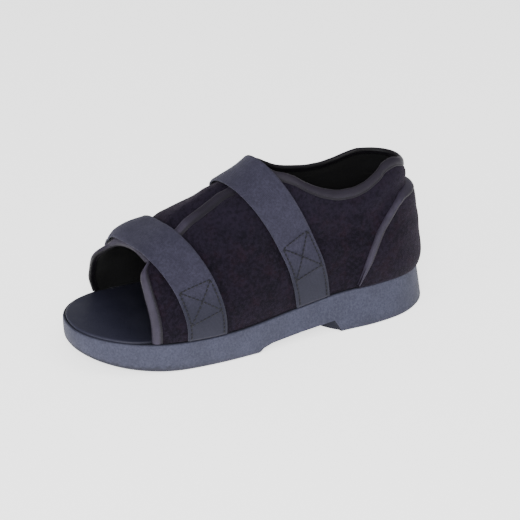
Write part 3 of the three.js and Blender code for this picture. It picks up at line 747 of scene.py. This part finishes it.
# Soft creases in the upper: side, then place from the heel and degrees up at each end, and how
# wide and deep each is in millimetres. A depth below zero is a ridge.
CREASES = [
    (1, 0.16, 58, 0.3, 60, 5.0, 1.5),
    (1, 0.2, 50, 0.33, 52, 5.5, 1.1),
    (1, 0.31, 63, 0.37, 71, 4.0, 1.0),
    (1, 0.13, 66, 0.2, 50, 4.5, 1.0),
    (1, 0.24, 22, 0.33, 34, 8.0, 0.8),
    (1, 0.47, 24, 0.56, 46, 9.0, 0.9),
    (1, 0.5, 58, 0.63, 72, 7.0, 1.0),
    (1, 0.53, 14, 0.6, 34, 7.0, 0.7),
    (1, 0.57, 50, 0.66, 60, 6.0, 0.7),
    (1, 0.775, 8, 0.768, 52, 3.5, 1.2),
    (1, 0.79, 14, 0.782, 46, 2.6, -0.9),
    (1, 0.76, 6, 0.752, 44, 3.0, 0.9),
    (1, 0.3, 8, 0.28, 34, 8.0, 0.7),
    (-1, 0.16, 58, 0.3, 60, 5.0, 1.3),
    (-1, 0.24, 22, 0.33, 34, 8.0, 0.8),
    (-1, 0.46, 26, 0.56, 46, 9.0, 1.0),
    (-1, 0.53, 12, 0.6, 32, 7.0, 0.7),
    (-1, 0.78, 14, 0.77, 50, 4.0, 1.0),
    (-1, 0.55, 70, 0.66, 80, 6.0, 0.7),
    (-1, 0.3, 8, 0.28, 34, 8.0, 0.6),
]


def creases(side, point):
    """How far the cloth stands out at a point of the upper, from its creases and small waves."""
    out = np.zeros(len(point))
    for of_side, place_a, up_a, place_b, up_b, width, depth in CREASES:
        if of_side != side:
            continue
        t = np.linspace(0, 1, 15)
        around = around_at(x_of(mix(place_a, place_b, t)))
        spots = last_point(side, around, mix(up_a, up_b, t))
        gap = np.linalg.norm(point[:, None, :] - spots[None], axis=2)
        d = gap.min(axis=1) / width
        fade = np.sin(np.pi * np.clip(t[gap.argmin(axis=1)], 0.08, 0.92)) ** 0.6
        out -= depth * fade * (hump(d, 0, 1) - 0.35 * hump(d, 1.9, 1))
    x, y, z = point.T
    wave = np.sin(x / 11 + z / 17) * np.sin(z / 9 - y / 23 + 1.3) + 0.6 * np.sin(x / 5.3 - z / 7.7)
    return out + 0.13 * wave


def edge_distance(side, a, b, around, degrees):
    """About how far a spot of the upper is from the toe opening and from its top edge."""
    here = last_point(side, around, degrees)

    def per_grid(step, near):
        return np.linalg.norm(last_point(side, *near) - here, axis=1) / step

    per_a = per_grid(0.01, spot(side, np.clip(a + 0.01, 0, 1), b))
    per_b = per_grid(0.02, spot(side, a, np.clip(b - 0.02, 0, 1)))
    return a * per_a, (1 - b) * per_b


def upper_surface(u, v):
    """The padded cloth: u from the left of the toe opening round the heel, v from the sole up."""
    points = np.zeros((len(u), 3))
    for side, chosen in ((1, u <= 0.5), (-1, u > 0.5)):
        a = 2 * u[chosen] if side > 0 else 2 * (1 - u[chosen])
        b = v[chosen]
        around, degrees = spot(side, a, b)
        at = last_point(side, around, degrees)
        edge = np.minimum(*edge_distance(side, a, b, around, degrees))
        pad = 0.5 * hump(edge, 15, 6) - 0.35 * hump(edge, BINDING, 1.6)
        tuck = -0.6 * hump(b * 60, 0, 2.5)
        height = pad + tuck + creases(side, at) * ease(6, 14, edge)
        points[chosen] = skin(side, around, degrees, height)
    return points


def upper_cloth():
    bm = laid(260, 54, upper_surface, (520, 100))
    face_away(bm, INSIDE)
    obj = made("upper_cloth", bm, [CLOTH, LINING], "cloth", "upper")
    thicken(obj, WALL - 0.1, -1, inside=1)


def tape_section(v, width=1.0):
    """The folded tape: from its inner edge on the outside, over the fold, to the lining."""
    under = -WALL - 0.25
    path = np.array([
        (BINDING, 0.05), (BINDING - 0.6, 0.3), (BINDING - 1.5, 0.35), (BINDING / 2 + 0.6, 0.8),
        (BINDING / 2 - 0.8, 0.9), (1.0, 0.65), (-0.1, 0.2), (-0.75, -0.6), (-0.85, -WALL / 2),
        (-0.75, -WALL + 0.4), (-0.1, under), (1.2, under - 0.1), (BINDING_INSIDE, under),
    ])
    run = run_of(path)
    inward, height = (np.interp(v, run / run[-1], column) for column in path.T)
    return np.where(inward > 1, 1 + (inward - 1) * width, inward), height, run[-1]


def folded_tape(name, node, surface, length, turn):
    """A folded tape of a length, laid over surface(u, v)."""
    width = tape_section(np.array([0.0]))[2]
    bm = laid(int(length / TAPE_STEP), 26, surface, (length, width))
    turn(bm)
    thicken(made(name, bm, [TAPE], "tape", node), TAPE_THICKNESS * 0.6, 1)


def pucker(run, inward, edge, depth):
    """The small waves that the binder's stitches draw along a tape's inner edge."""
    return depth * np.sin(run / PUCKER_PITCH) * hump(inward, edge, 1.5)


def unit(vectors):
    return vectors / np.linalg.norm(vectors, axis=1, keepdims=True)


def sheet_point(side, a, b, height):
    around, degrees = spot(side, a, b)
    return skin(side, around, degrees, height)


def grid_size(side, a, b, way):
    """Millimetres per whole grid, along or up, at a spot."""
    da, db = GRID_STEP[way]
    step = sheet_point(side, a + da, b + db, 0 * a) - sheet_point(side, a, b, 0 * a)
    return np.linalg.norm(step, axis=1) / (abs(da) + abs(db))


def flap_path(side):
    """The flap's edge as a and b: up its front edge, and back along its throat edge."""
    t = np.linspace(0, 1, EDGE_STEPS)
    front = np.stack([0 * t, mix(0.012, 1, t)], axis=1)
    back = np.stack([THROAT_END * t[1:], 1 + 0 * t[1:]], axis=1)
    path = np.concatenate([front, back])
    run = run_of(sheet_point(side, path[:, 0], path[:, 1], np.zeros(len(path))))
    return path, run, run[EDGE_STEPS - 1]


def flap_tape(name, side, node):
    path, run, corner = flap_path(side)
    zero, one = np.array([0.0]), np.array([1.0])
    corner_a = grid_size(side, zero, one, "along")[0]
    corner_b = grid_size(side, zero, one, "up")[0]

    def surface(u, v):
        s = u * run[-1]
        a, b = np.interp(s, run, path[:, 0]), np.interp(s, run, path[:, 1])
        width = np.interp(s, (0, 0.75 * corner, 1.3 * corner), (1, 0.8, 1.6))
        inward, height, _ = tape_section(v, width)
        per_a = grid_size(side, 0 * a, b, "along")
        per_b = grid_size(side, a, 0 * b + 1, "up")
        up = s <= corner
        folded = inward * (inward > 0)
        new_a = np.where(up, inward / per_a, np.maximum(a, folded / corner_a))
        new_b = np.where(up, np.minimum(b, 1 - folded / corner_b), 1 - inward / per_b)
        past_a, past_b = np.minimum(new_a, 0) * per_a, np.minimum(1 - new_b, 0) * per_b
        new_a, new_b = np.maximum(new_a, 0), np.minimum(new_b, 1)
        none = 0 * a
        back = sheet_point(side, none + 0.02, new_b, none) - sheet_point(side, none, new_b, none)
        top = none + 1
        down = sheet_point(side, new_a, top - 0.03, none) - sheet_point(side, new_a, top, none)
        height = height + pucker(s, inward, BINDING - 1.6, 0.06)
        over = unit(back) * past_a[:, None] + unit(down) * past_b[:, None]
        return sheet_point(side, new_a, new_b, height) + over

    folded_tape(name, node, surface, run[-1], face_out)


def face_out(bm):
    """A folded tape faces away from its own middle line."""
    face_away(bm, sum((v.co for v in bm.verts), Vector()) / len(bm.verts))


def collar_tape():
    """The binding round the collar, from one side of the throat to the other."""
    t = np.linspace(0, 1, 200)
    left = np.stack([1 + 0 * t, mix(THROAT_END, 1, t)], axis=1)
    right = np.stack([-1 + 0 * t, mix(1, COLLAR_FAR_END, t)], axis=1)[1:]
    path = np.concatenate([left, right])
    one = np.array([1.0])
    line = np.array([sheet_point(s, np.array([a]), one, np.zeros(1))[0] for s, a in path])
    run = run_of(line)
    middle = run[len(t) - 1]

    def surface(u, v):
        s = u * run[-1]
        inward, height, _ = tape_section(v)
        height = height + pucker(s, inward, BINDING - 1.6, 0.1)
        points = np.zeros((len(u), 3))
        for side, chosen in ((1, s <= middle), (-1, s > middle)):
            a = np.interp(s[chosen], run, path[:, 1])
            top = 0 * a + 1
            far = inward[chosen]
            per_b = grid_size(side, a, top, "up")
            base = sheet_point(side, a, 1 - np.maximum(far, 0) / per_b, height[chosen])
            up = sheet_point(side, a, top, 0 * a) - sheet_point(side, a, top - 0.03, 0 * a)
            points[chosen] = base + unit(up) * np.maximum(-far, 0)[:, None]
        return points

    folded_tape("collar_tape_band", "collar_tape", surface, run[-1], face_up)


def face_up(bm):
    """The fold at the top of the collar faces up."""
    if sum(f.normal.z * f.calc_area() for f in bm.faces if f.normal.z * f.normal.z > 0.5) < 0:
        bmesh.ops.reverse_faces(bm, faces=bm.faces)


COUNTER_FRONT = around_at(x_of(COUNTER_EDGE["place"][-1]))


def counter_degrees(side, around):
    rise = BACK_HEIGHT - HEEL_HEIGHT

    def reached(p):
        height = read(COUNTER_EDGE, "place", "height", place_of(p[..., 0])) * rise
        return p[..., 2] >= HEEL_HEIGHT + np.maximum(3, height)

    return solve_degrees(side, around, reached)


COUNTER_AROUND = np.linspace(COUNTER_FRONT, 1, 200)
COUNTER_TOP = {side: counter_degrees(side, COUNTER_AROUND) for side in (1, -1)}


def counter_spot(u):
    """The side and the place round the rim at a share of the counter's length."""
    side = np.where(u <= 0.5, 1, -1)
    around = mix(COUNTER_FRONT, 1, np.where(u <= 0.5, 2 * u, 2 * (1 - u)))
    top = np.where(side > 0, np.interp(around, COUNTER_AROUND, COUNTER_TOP[1]),
                   np.interp(around, COUNTER_AROUND, COUNTER_TOP[-1]))
    return side, around, top


def counter_surface(u, v):
    side, around, top = counter_spot(u)
    x, y, z = last_point(side, around, v * top).T
    wave = 0.14 * np.sin(z / 8 + y / 13) * np.sin(x / 9 + 0.7)
    crown = 0.5 * np.sin(np.pi * np.clip(v, 0, 1)) ** 0.5
    return skin(side, around, v * top, GAP + COUNTER_THICKNESS - 0.3 + crown + wave)


def heel_counter():
    bm = laid(110, 30, counter_surface, (150, 60))
    face_away(bm, IN_HEEL)
    obj = made("counter_cloth", bm, [CLOTH, LINING], "cloth", "heel_counter")
    thicken(obj, COUNTER_THICKNESS - 0.1, -1, inside=1)


def counter_tape():
    """The raised binding along the counter's upper edge."""
    share = np.linspace(0, 1, 300)
    run = run_of(skin(*counter_spot(share), 0 * share))
    across = np.array([
        (COUNTER_BINDING, 2.35), (COUNTER_BINDING - 0.5, 2.75), (COUNTER_BINDING - 1.4, 3.2),
        (1.9, 3.4), (0.6, 3.0), (-0.2, 2.2), (-0.8, 1.0), (-1.0, 0.1),
    ])
    section_run = run_of(across)

    def surface(u, v):
        s = u * run[-1]
        where = np.interp(s, run, share)
        side, around, top = counter_spot(where)
        ends = [skin(*counter_spot(w), 0 * w)
                for w in (np.minimum(where + 0.004, 1), np.maximum(where - 0.004, 0))]
        _, along, up, normal = last_frame(side, around, top)
        into = unit(np.cross(unit(ends[0] - ends[1]), normal))
        into *= np.where(into[:, 2] > 0, -1, 1)[:, None]
        aa, bb, ab = (along**2).sum(1), (up**2).sum(1), (along * up).sum(1)
        ea, eb = (along * into).sum(1), (up * into).sum(1)
        det = aa * bb - ab * ab
        inward, height = (np.interp(v * section_run[-1], section_run, c) for c in across.T)
        thin = ease(0, 26, np.minimum(s, run[-1] - s))
        inward = 1.2 + (inward - 1.2) * mix(0.45, 1, thin)
        height = height - mix(1.1, 0, thin)
        new_around = around + inward * (ea * bb - eb * ab) / det
        new_top = top + inward * (eb * aa - ea * ab) / det
        drawn = 0.08 * np.sin(s / PUCKER_PITCH) * hump(inward, COUNTER_BINDING - 1.4, 1.2)
        swell = 0.12 * np.sin(s / 6.1 + 0.4)
        over = new_around > 1
        side = np.where(over, -side, side)
        new_around = np.where(over, 2 - new_around, new_around)
        return skin(side, new_around, new_top, height + drawn + swell)

    bm = laid(int(run[-1] / 1.1), 18, surface, (run[-1], section_run[-1]))
    face_away(bm, IN_HEEL)
    thicken(made("counter_tape_band", bm, [TAPE], "tape", "counter_tape"), 0.5, -1)


def insole_inset(x):
    return mix(INSOLE_MARGIN, TOE_LIP, ease(0.8, 0.87, place_of(x)))


def plan_solid(columns, levels):
    """A slab on the sole's plan. Each level has an inset, a height and a closing share."""
    def surface(u, v):
        side = np.where(u <= 0.5, 1, -1)
        around = np.where(u <= 0.5, 2 * u, 2 * (1 - u))
        row = np.round(v * (len(levels) - 1)).astype(int)
        x, _ = rim(1, around)
        points = np.zeros((len(u), 3))
        for k, (inset, height, closing) in enumerate(levels):
            here = row == k
            px, py = rim(side[here], around[here], inset(x[here]))
            tip = (around[here] < 1e-9) | (around[here] > 1 - 1e-9)
            py = np.where(tip, 0, py) * (1 - closing)
            points[here] = np.stack([px, py, height(x[here], py)], axis=1)
        return points

    bm = laid(columns, len(levels) - 1, surface, (RIM_RUN * 2, LEVEL_SPAN))
    bmesh.ops.remove_doubles(bm, verts=bm.verts, dist=0.02 * MM)
    bmesh.ops.recalc_face_normals(bm, faces=bm.faces)
    return bm


def tray_levels(inset, height, steps=8):
    return [(inset, height, k / steps) for k in range(1, steps + 1)]


def sole_block():
    """The moulded sole: rounded at the ground and the rim, with a tray for the insole."""
    def draft(x):
        return mix(-HEEL_FLARE, FOREFOOT_UNDERCUT, ease(0.3, 0.6, place_of(x)))

    def above(up):
        return lambda x, y: sole_bottom(x) + up

    def below_rim(down):
        return lambda x, y: rim_height(x) - down

    levels = tray_levels(lambda x: draft(x) + EDGE_RADIUS, above(0))[::-1]
    for k in range(6):
        turn = math.pi / 2 * k / 5
        back, up = EDGE_RADIUS * (1 - math.sin(turn)), EDGE_RADIUS * (1 - math.cos(turn))
        share = 1 - 0.2 * up / EDGE_RADIUS
        levels.append((lambda x, back=back, share=share: draft(x) * share + back, above(up), 0))
    for k in range(1, 9):
        t = k / 9
        share, swell = 0.8 * (1 - t) ** 1.15, 0.25 * math.sin(math.pi * t)
        levels.append((
            lambda x, share=share, swell=swell: draft(x) * share - swell,
            lambda x, y, t=t: mix(sole_bottom(x) + EDGE_RADIUS, rim_height(x) - RIM_RADIUS, t),
            0,
        ))
    for k in range(5):
        turn = math.pi / 2 * k / 4
        back, down = RIM_RADIUS * (1 - math.cos(turn)), RIM_RADIUS * (1 - math.sin(turn))
        levels.append((lambda x, back=back: back, below_rim(down), 0))
    for more, down in ((-0.4, 0), (-0.12, 0.2), (0, 0.8), (0, INSOLE_RECESS)):
        levels.append((lambda x, more=more: insole_inset(x) + more, below_rim(down), 0))
    levels += tray_levels(insole_inset, below_rim(INSOLE_RECESS))
    obj = made("sole_block", plan_solid(220, levels), [FOAM, ARCH_FOAM], "foam", "sole")
    cutter = arch_cutter()
    cut = obj.modifiers.new("arch", "BOOLEAN")
    cut.operation, cut.solver, cut.object = "DIFFERENCE", "EXACT", cutter
    bpy.context.view_layer.update()
    finished = obj.evaluated_get(bpy.context.evaluated_depsgraph_get())
    shaped = bpy.data.meshes.new_from_object(finished)
    obj.modifiers.clear()
    obj.data = shaped
    bpy.data.objects.remove(cutter)
    shaped.shade_smooth()
    shaped.set_sharp_from_angle(angle=math.radians(38))


def arch_cutter():
    """The hollow between the heel block and the forefoot pad, bowed at the heel's breast."""
    breast, pad, below = HEEL_BREAST - HALF, FOREFOOT_PAD_END - HALF, -5
    profile = np.array([
        (breast - BREAST_LEAN - 0.6 * below, below, 1),
        (breast, -0.01, 1),
        (breast + BREAST_LEAN, ARCH_DEPTH, 1),
        (breast + 34, ARCH_DEPTH * 0.84, 0.4),
        (pad - 11, ARCH_DEPTH * 0.6, 0),
        (pad - 4, ARCH_DEPTH * 0.38, 0),
        (pad, -0.01, 0),
        (pad + 2, below, 0),
        (breast - BREAST_LEAN - 0.6 * below, below, 1),
    ])
    rows = len(profile) - 1

    def surface(u, v):
        row = profile[np.round(v * rows).astype(int)]
        y = mix(-1, 1, u) * (BALL_WIDTH / 2 + 8)
        bow = BREAST_BOW * np.maximum(0, 1 - np.abs(y / (BALL_WIDTH * 0.41)) ** 3)
        return np.stack([row[:, 0] + bow * row[:, 2], y, row[:, 1]], axis=1)

    bm = laid(40, rows, surface, (1, 1))
    bmesh.ops.remove_doubles(bm, verts=bm.verts, dist=0.02 * MM)
    bmesh.ops.holes_fill(bm, edges=[e for e in bm.edges if e.is_boundary])
    bmesh.ops.recalc_face_normals(bm, faces=bm.faces)
    # The cut faces take the arch foam, whose dark colour is painted shade.
    for face in bm.faces:
        face.material_index = 1
    return mesh_object("arch_cutter", bm, [FOAM, ARCH_FOAM])


def insole_sheet():
    """The foam sheet in the tray, pressed a little where a foot stands."""
    def dish(x, y):
        place = place_of(x)
        ball = hump(place, 0.68, 0.13) * hump(y, 0, 30)
        heel = hump(place, 0.16, 0.1) * hump(y, 0, 24)
        return -0.5 * ball - 0.6 * heel + 0.06 * np.sin(x / 13 + 0.5) * np.sin(y / 9)

    def base(x, y):
        return rim_height(x) - INSOLE_RECESS + GAP

    def top(drop):
        return lambda x, y: base(x, y) + INSOLE_THICKNESS - drop + dish(x, y)

    def inset(extra):
        return lambda x: insole_inset(x) + GAP + extra

    levels = tray_levels(inset(0), base, 3)[::-1] + [(inset(0), base, 0)]
    for extra, drop in ((0, 1.2), (0.1, 0.7), (0.4, 0.3), (0.9, 0.08), (1.6, 0)):
        levels.append((inset(extra), top(drop), 0))
    levels += tray_levels(inset(1.6), top(0), 20)
    obj = made("insole_sheet", plan_solid(200, levels), [INSOLE], "insole", "insole")


class Strap:
    """A webbing band over the last, from the left of the sole to its free end on the right."""

    def __init__(self, name):
        self.name, self.sizes = name, STRAPS[name]
        self.offsets = np.linspace(-STRAP_WIDTH / 2, STRAP_WIDTH / 2, 25)
        self.stops = np.array([self.stop(np.array([o]))[0] for o in self.offsets])
        mid = mix(STRAP_START, np.interp(0, self.offsets, self.stops), np.linspace(0, 1, 200))
        run = run_of(self.band(mid, 0 * mid, 0 * mid))
        self.length = run[-1]
        self.warp = run / run[-1], (mid - mid[0]) / (mid[-1] - mid[0])

    def band(self, degrees, offset, height):
        def behind(around):
            return ahead_of(self.sizes, last_point(1, around, degrees)) <= offset

        around = halved(np.full_like(degrees, 0.1), np.full_like(degrees, 0.9), behind)
        at, _, _, normal = last_frame(1, around, degrees)
        stand = read(STRAP_STAND_OFF, "degrees", "gap", degrees) - squeeze(at, degrees) + fuller(at)
        return at + normal * (stand + height)[:, None]

    def stop(self, offset):
        corner = 3 * ease(0.6, 1, np.abs(offset) / (STRAP_WIDTH / 2)) ** 2
        height = rim_height(x_of(self.sizes["base"])) + self.sizes["end"] + corner

        def below(degrees):
            return self.band(degrees, offset, 0 * degrees)[:, 2] <= height

        return halved(np.full_like(offset, 95.0), np.full_like(offset, 176.0), below, 24)

    def surface(self, along, offset, height):
        """A point of the strap: along from 0 at the sole to 1 at the free end."""
        stop = np.interp(offset, self.offsets, self.stops)
        share = np.interp(along, *self.warp)
        return self.band(mix(STRAP_START, stop, share), offset, height)

    def built(self):
        def surface(u, v):
            spread = np.sin((v - 0.5) * math.pi * 0.94) / math.sin(math.pi * 0.47)
            offset = spread * STRAP_WIDTH / 2
            edge = STRAP_WIDTH / 2 - np.abs(offset)
            along = u * self.length
            rim_roll = -0.35 * hump(edge, 0, 0.7)
            selvedge = 0.14 * hump(edge, 1.2, 0.6)
            sewn = -0.16 * hump(edge, 2.4, 0.6) * (along < self.sizes["box_top"][0])
            hem = HEM_HEIGHT * ease(self.length - 13, self.length - 12, along)
            wave = 0.12 * np.sin(along / 9 + offset / 13) + 0.07 * np.sin(along / 3.7 - offset / 5)
            height = STRAP_THICKNESS - 0.15 + rim_roll + selvedge + sewn + hem + wave
            return self.surface(u, offset, height)

        bm = laid(int(self.length / 1.5), 30, surface, (self.length, STRAP_WIDTH))
        face_away(bm, INSIDE)
        obj = made(self.name + "_webbing", bm, [WEBBING], "webbing", self.name)
        thicken(obj, STRAP_THICKNESS - 0.25, -1)

    def sewing(self, stitches):
        """The box with a cross, and a line of stitches inside each edge down to the sole."""
        side = STRAP_WIDTH / 2 - 2.6
        low, top = self.sizes["box_low"], self.sizes["box_top"]
        lines = [
            ((low[0], -side), (low[1], side)), ((top[0], -side), (top[1], side)),
            ((low[0], -side), (top[1], side)), ((low[1], side), (top[0], -side)),
            ((1, -side), (top[0], -side)), ((1, side), (top[1], side)),
            ((self.length - 10, -side), (self.length - 10, side)),
        ]
        for start, end in lines:
            t = np.linspace(0, 1, 60)
            along, offset = mix(start[0], end[0], t), mix(start[1], end[1], t)
            height = np.full_like(t, STRAP_THICKNESS - 0.05)
            if start[0] > self.length - 20:
                height += HEM_HEIGHT
            line = self.surface(along / self.length, offset, height)
            above = self.surface(along / self.length, offset, height + 1)
            stitches.line(line, above - line)


class Stitches:
    """Short rounded threads along lines, gathered in one mesh."""

    def __init__(self, length, gap, thick):
        self.length, self.gap, self.thick = length, gap, thick
        self.bm = bmesh.new()

    def at(self, distance, run, rows):
        return Vector([np.interp(distance, run, rows[:, i]) for i in range(3)])

    def line(self, points, normals):
        run = run_of(points)
        count = max(1, int((run[-1] + self.gap) / (self.length + self.gap)))
        pitch = run[-1] / count
        for k in range(count):
            ends = [k * pitch + self.gap / 2, (k + 1) * pitch - self.gap / 2]
            a, b = (self.at(end, run, points) for end in ends)
            n = self.at(sum(ends) / 2, run, normals).normalized()
            along = (b - a).normalized()
            cross = n.cross(along).normalized()
            n = along.cross(cross)
            middle = Vector(placed(np.array((a + b) / 2)))
            turn = Matrix((along, cross, n)).transposed().to_4x4()
            size = Matrix.Diagonal(((b - a).length / 2, self.thick / 2, self.thick * 0.4, 1))
            matrix = Matrix.Translation(middle) @ turn @ Matrix.Scale(MM, 4) @ size
            bmesh.ops.create_uvsphere(self.bm, u_segments=8, v_segments=5, radius=1, matrix=matrix)

    def made(self, name, material, slot):
        return made(name, self.bm, [material], slot)


def tape_stitches(stitches):
    """A row through the inner edge of each tape, where the binder was sewn."""
    inward = BINDING - 1.7

    def row_under_top(side, a):
        add_row(stitches, side, a, 1 - inward / grid_size(side, a, 0 * a + 1, "up"), 0.85)

    for side in (1, -1):
        path, run, corner = flap_path(side)
        b = np.interp(np.linspace(3, corner - inward, 80), run, path[:, 1])
        add_row(stitches, side, inward / grid_size(side, 0 * b, b, "along"), b, 0.85)
        row_under_top(side, np.interp(np.linspace(corner + inward, run[-1], 90), run, path[:, 0]))
    for side, start in ((1, THROAT_END), (-1, COLLAR_FAR_END)):
        row_under_top(side, np.linspace(start, 1, 160))


def add_row(stitches, side, a, b, height):
    line = sheet_point(side, a, b, np.full_like(a, height))
    above = sheet_point(side, a, b, np.full_like(a, height + 1))
    stitches.line(line, above - line)


upper_cloth()
flap_tape("left_flap_binding", 1, "left_flap_tape")
flap_tape("right_flap_binding", -1, "right_flap_tape")
collar_tape()
heel_counter()
counter_tape()
sole_block()
insole_sheet()
strap_sewing = Stitches(2.7, 0.3, 1.15)
for strap in (Strap("front_strap"), Strap("rear_strap")):
    strap.built()
    strap.sewing(strap_sewing)
strap_sewing.made("strap_stitches", DARK_THREAD, "webbing")
binder_sewing = Stitches(2.0, 0.8, 0.4)
tape_stitches(binder_sewing)
binder_sewing.made("binding_stitches", TAPE_THREAD, "tape")


def stage_floor():
    """A wide pale floor, a little lit of itself so that it stays near white."""
    bm = bmesh.new()
    bmesh.ops.create_grid(bm, x_segments=1, y_segments=1, size=6)
    pale = Finish("pale_floor", (0.9, 0.9, 0.9), Specular_IOR_Level=0.0,
                  Emission_Color=(1.0, 1.0, 1.0), Emission_Strength=1.7)
    floor = mesh_object("floor", bm, [pale.finish(1.0)])


def soft_light(name, place, aim, size, power):
    lamp = bpy.data.lights.new(name, "AREA")
    lamp.shape, lamp.size, lamp.energy = "DISK", size, power
    obj = bpy.data.objects.new(name, lamp)
    obj.location = place
    obj.rotation_mode = "QUATERNION"
    obj.rotation_quaternion = (Vector(aim) - Vector(place)).to_track_quat("-Z", "Y")
    bpy.context.scene.collection.objects.link(obj)


def photo_camera():
    """Stands where the photograph was taken: low over the toe, to the shoe's left."""
    azimuth, elevation = math.radians(155.3), math.radians(27.9)
    distance, pixels_per_metre, frame_px = 1.2, 1346.0, 520
    axis_u, axis_v = 248.3, 319.8
    back = Vector((
        math.sin(azimuth) * math.cos(elevation),
        -math.cos(azimuth) * math.cos(elevation),
        math.sin(elevation),
    ))
    right = Vector((math.cos(azimuth), math.sin(azimuth), 0))
    up = back.cross(right)
    focal_px = pixels_per_metre * distance
    aside, above = (frame_px / 2 - axis_u) / focal_px, (axis_v - frame_px / 2) / focal_px
    ahead = (-back + right * aside + up * above).normalized()
    right = (right - ahead * right.dot(ahead)).normalized()
    up = right.cross(ahead)
    data = bpy.data.cameras.new("photo_camera")
    data.sensor_width, data.lens = 36, 36 * focal_px / frame_px
    data.clip_start, data.clip_end = 0.05, 30
    camera = bpy.data.objects.new("photo_camera", data)
    turn = Matrix((right, up, -ahead)).transposed().to_4x4()
    camera.matrix_world = Matrix.Translation(back * distance) @ turn
    bpy.context.scene.collection.objects.link(camera)
    bpy.context.scene.camera = camera


def white_room():
    world = bpy.data.worlds.new("white_room")
    world.use_nodes = True
    sky = world.node_tree.nodes["Background"]
    sky.inputs["Color"].default_value = (1, 1, 1, 1)
    sky.inputs["Strength"].default_value = 0.55
    bpy.context.scene.world = world


stage_floor()
white_room()
soft_light("key", (0.7, 1.35, 0.95), (0, 0, 0.05), 0.9, 30)
soft_light("top", (-0.4, 0.6, 1.5), (0, 0, 0), 1.0, 6)
soft_light("toe", (1.4, 0.5, 0.5), (0.05, 0, 0.04), 0.7, 8)
photo_camera()
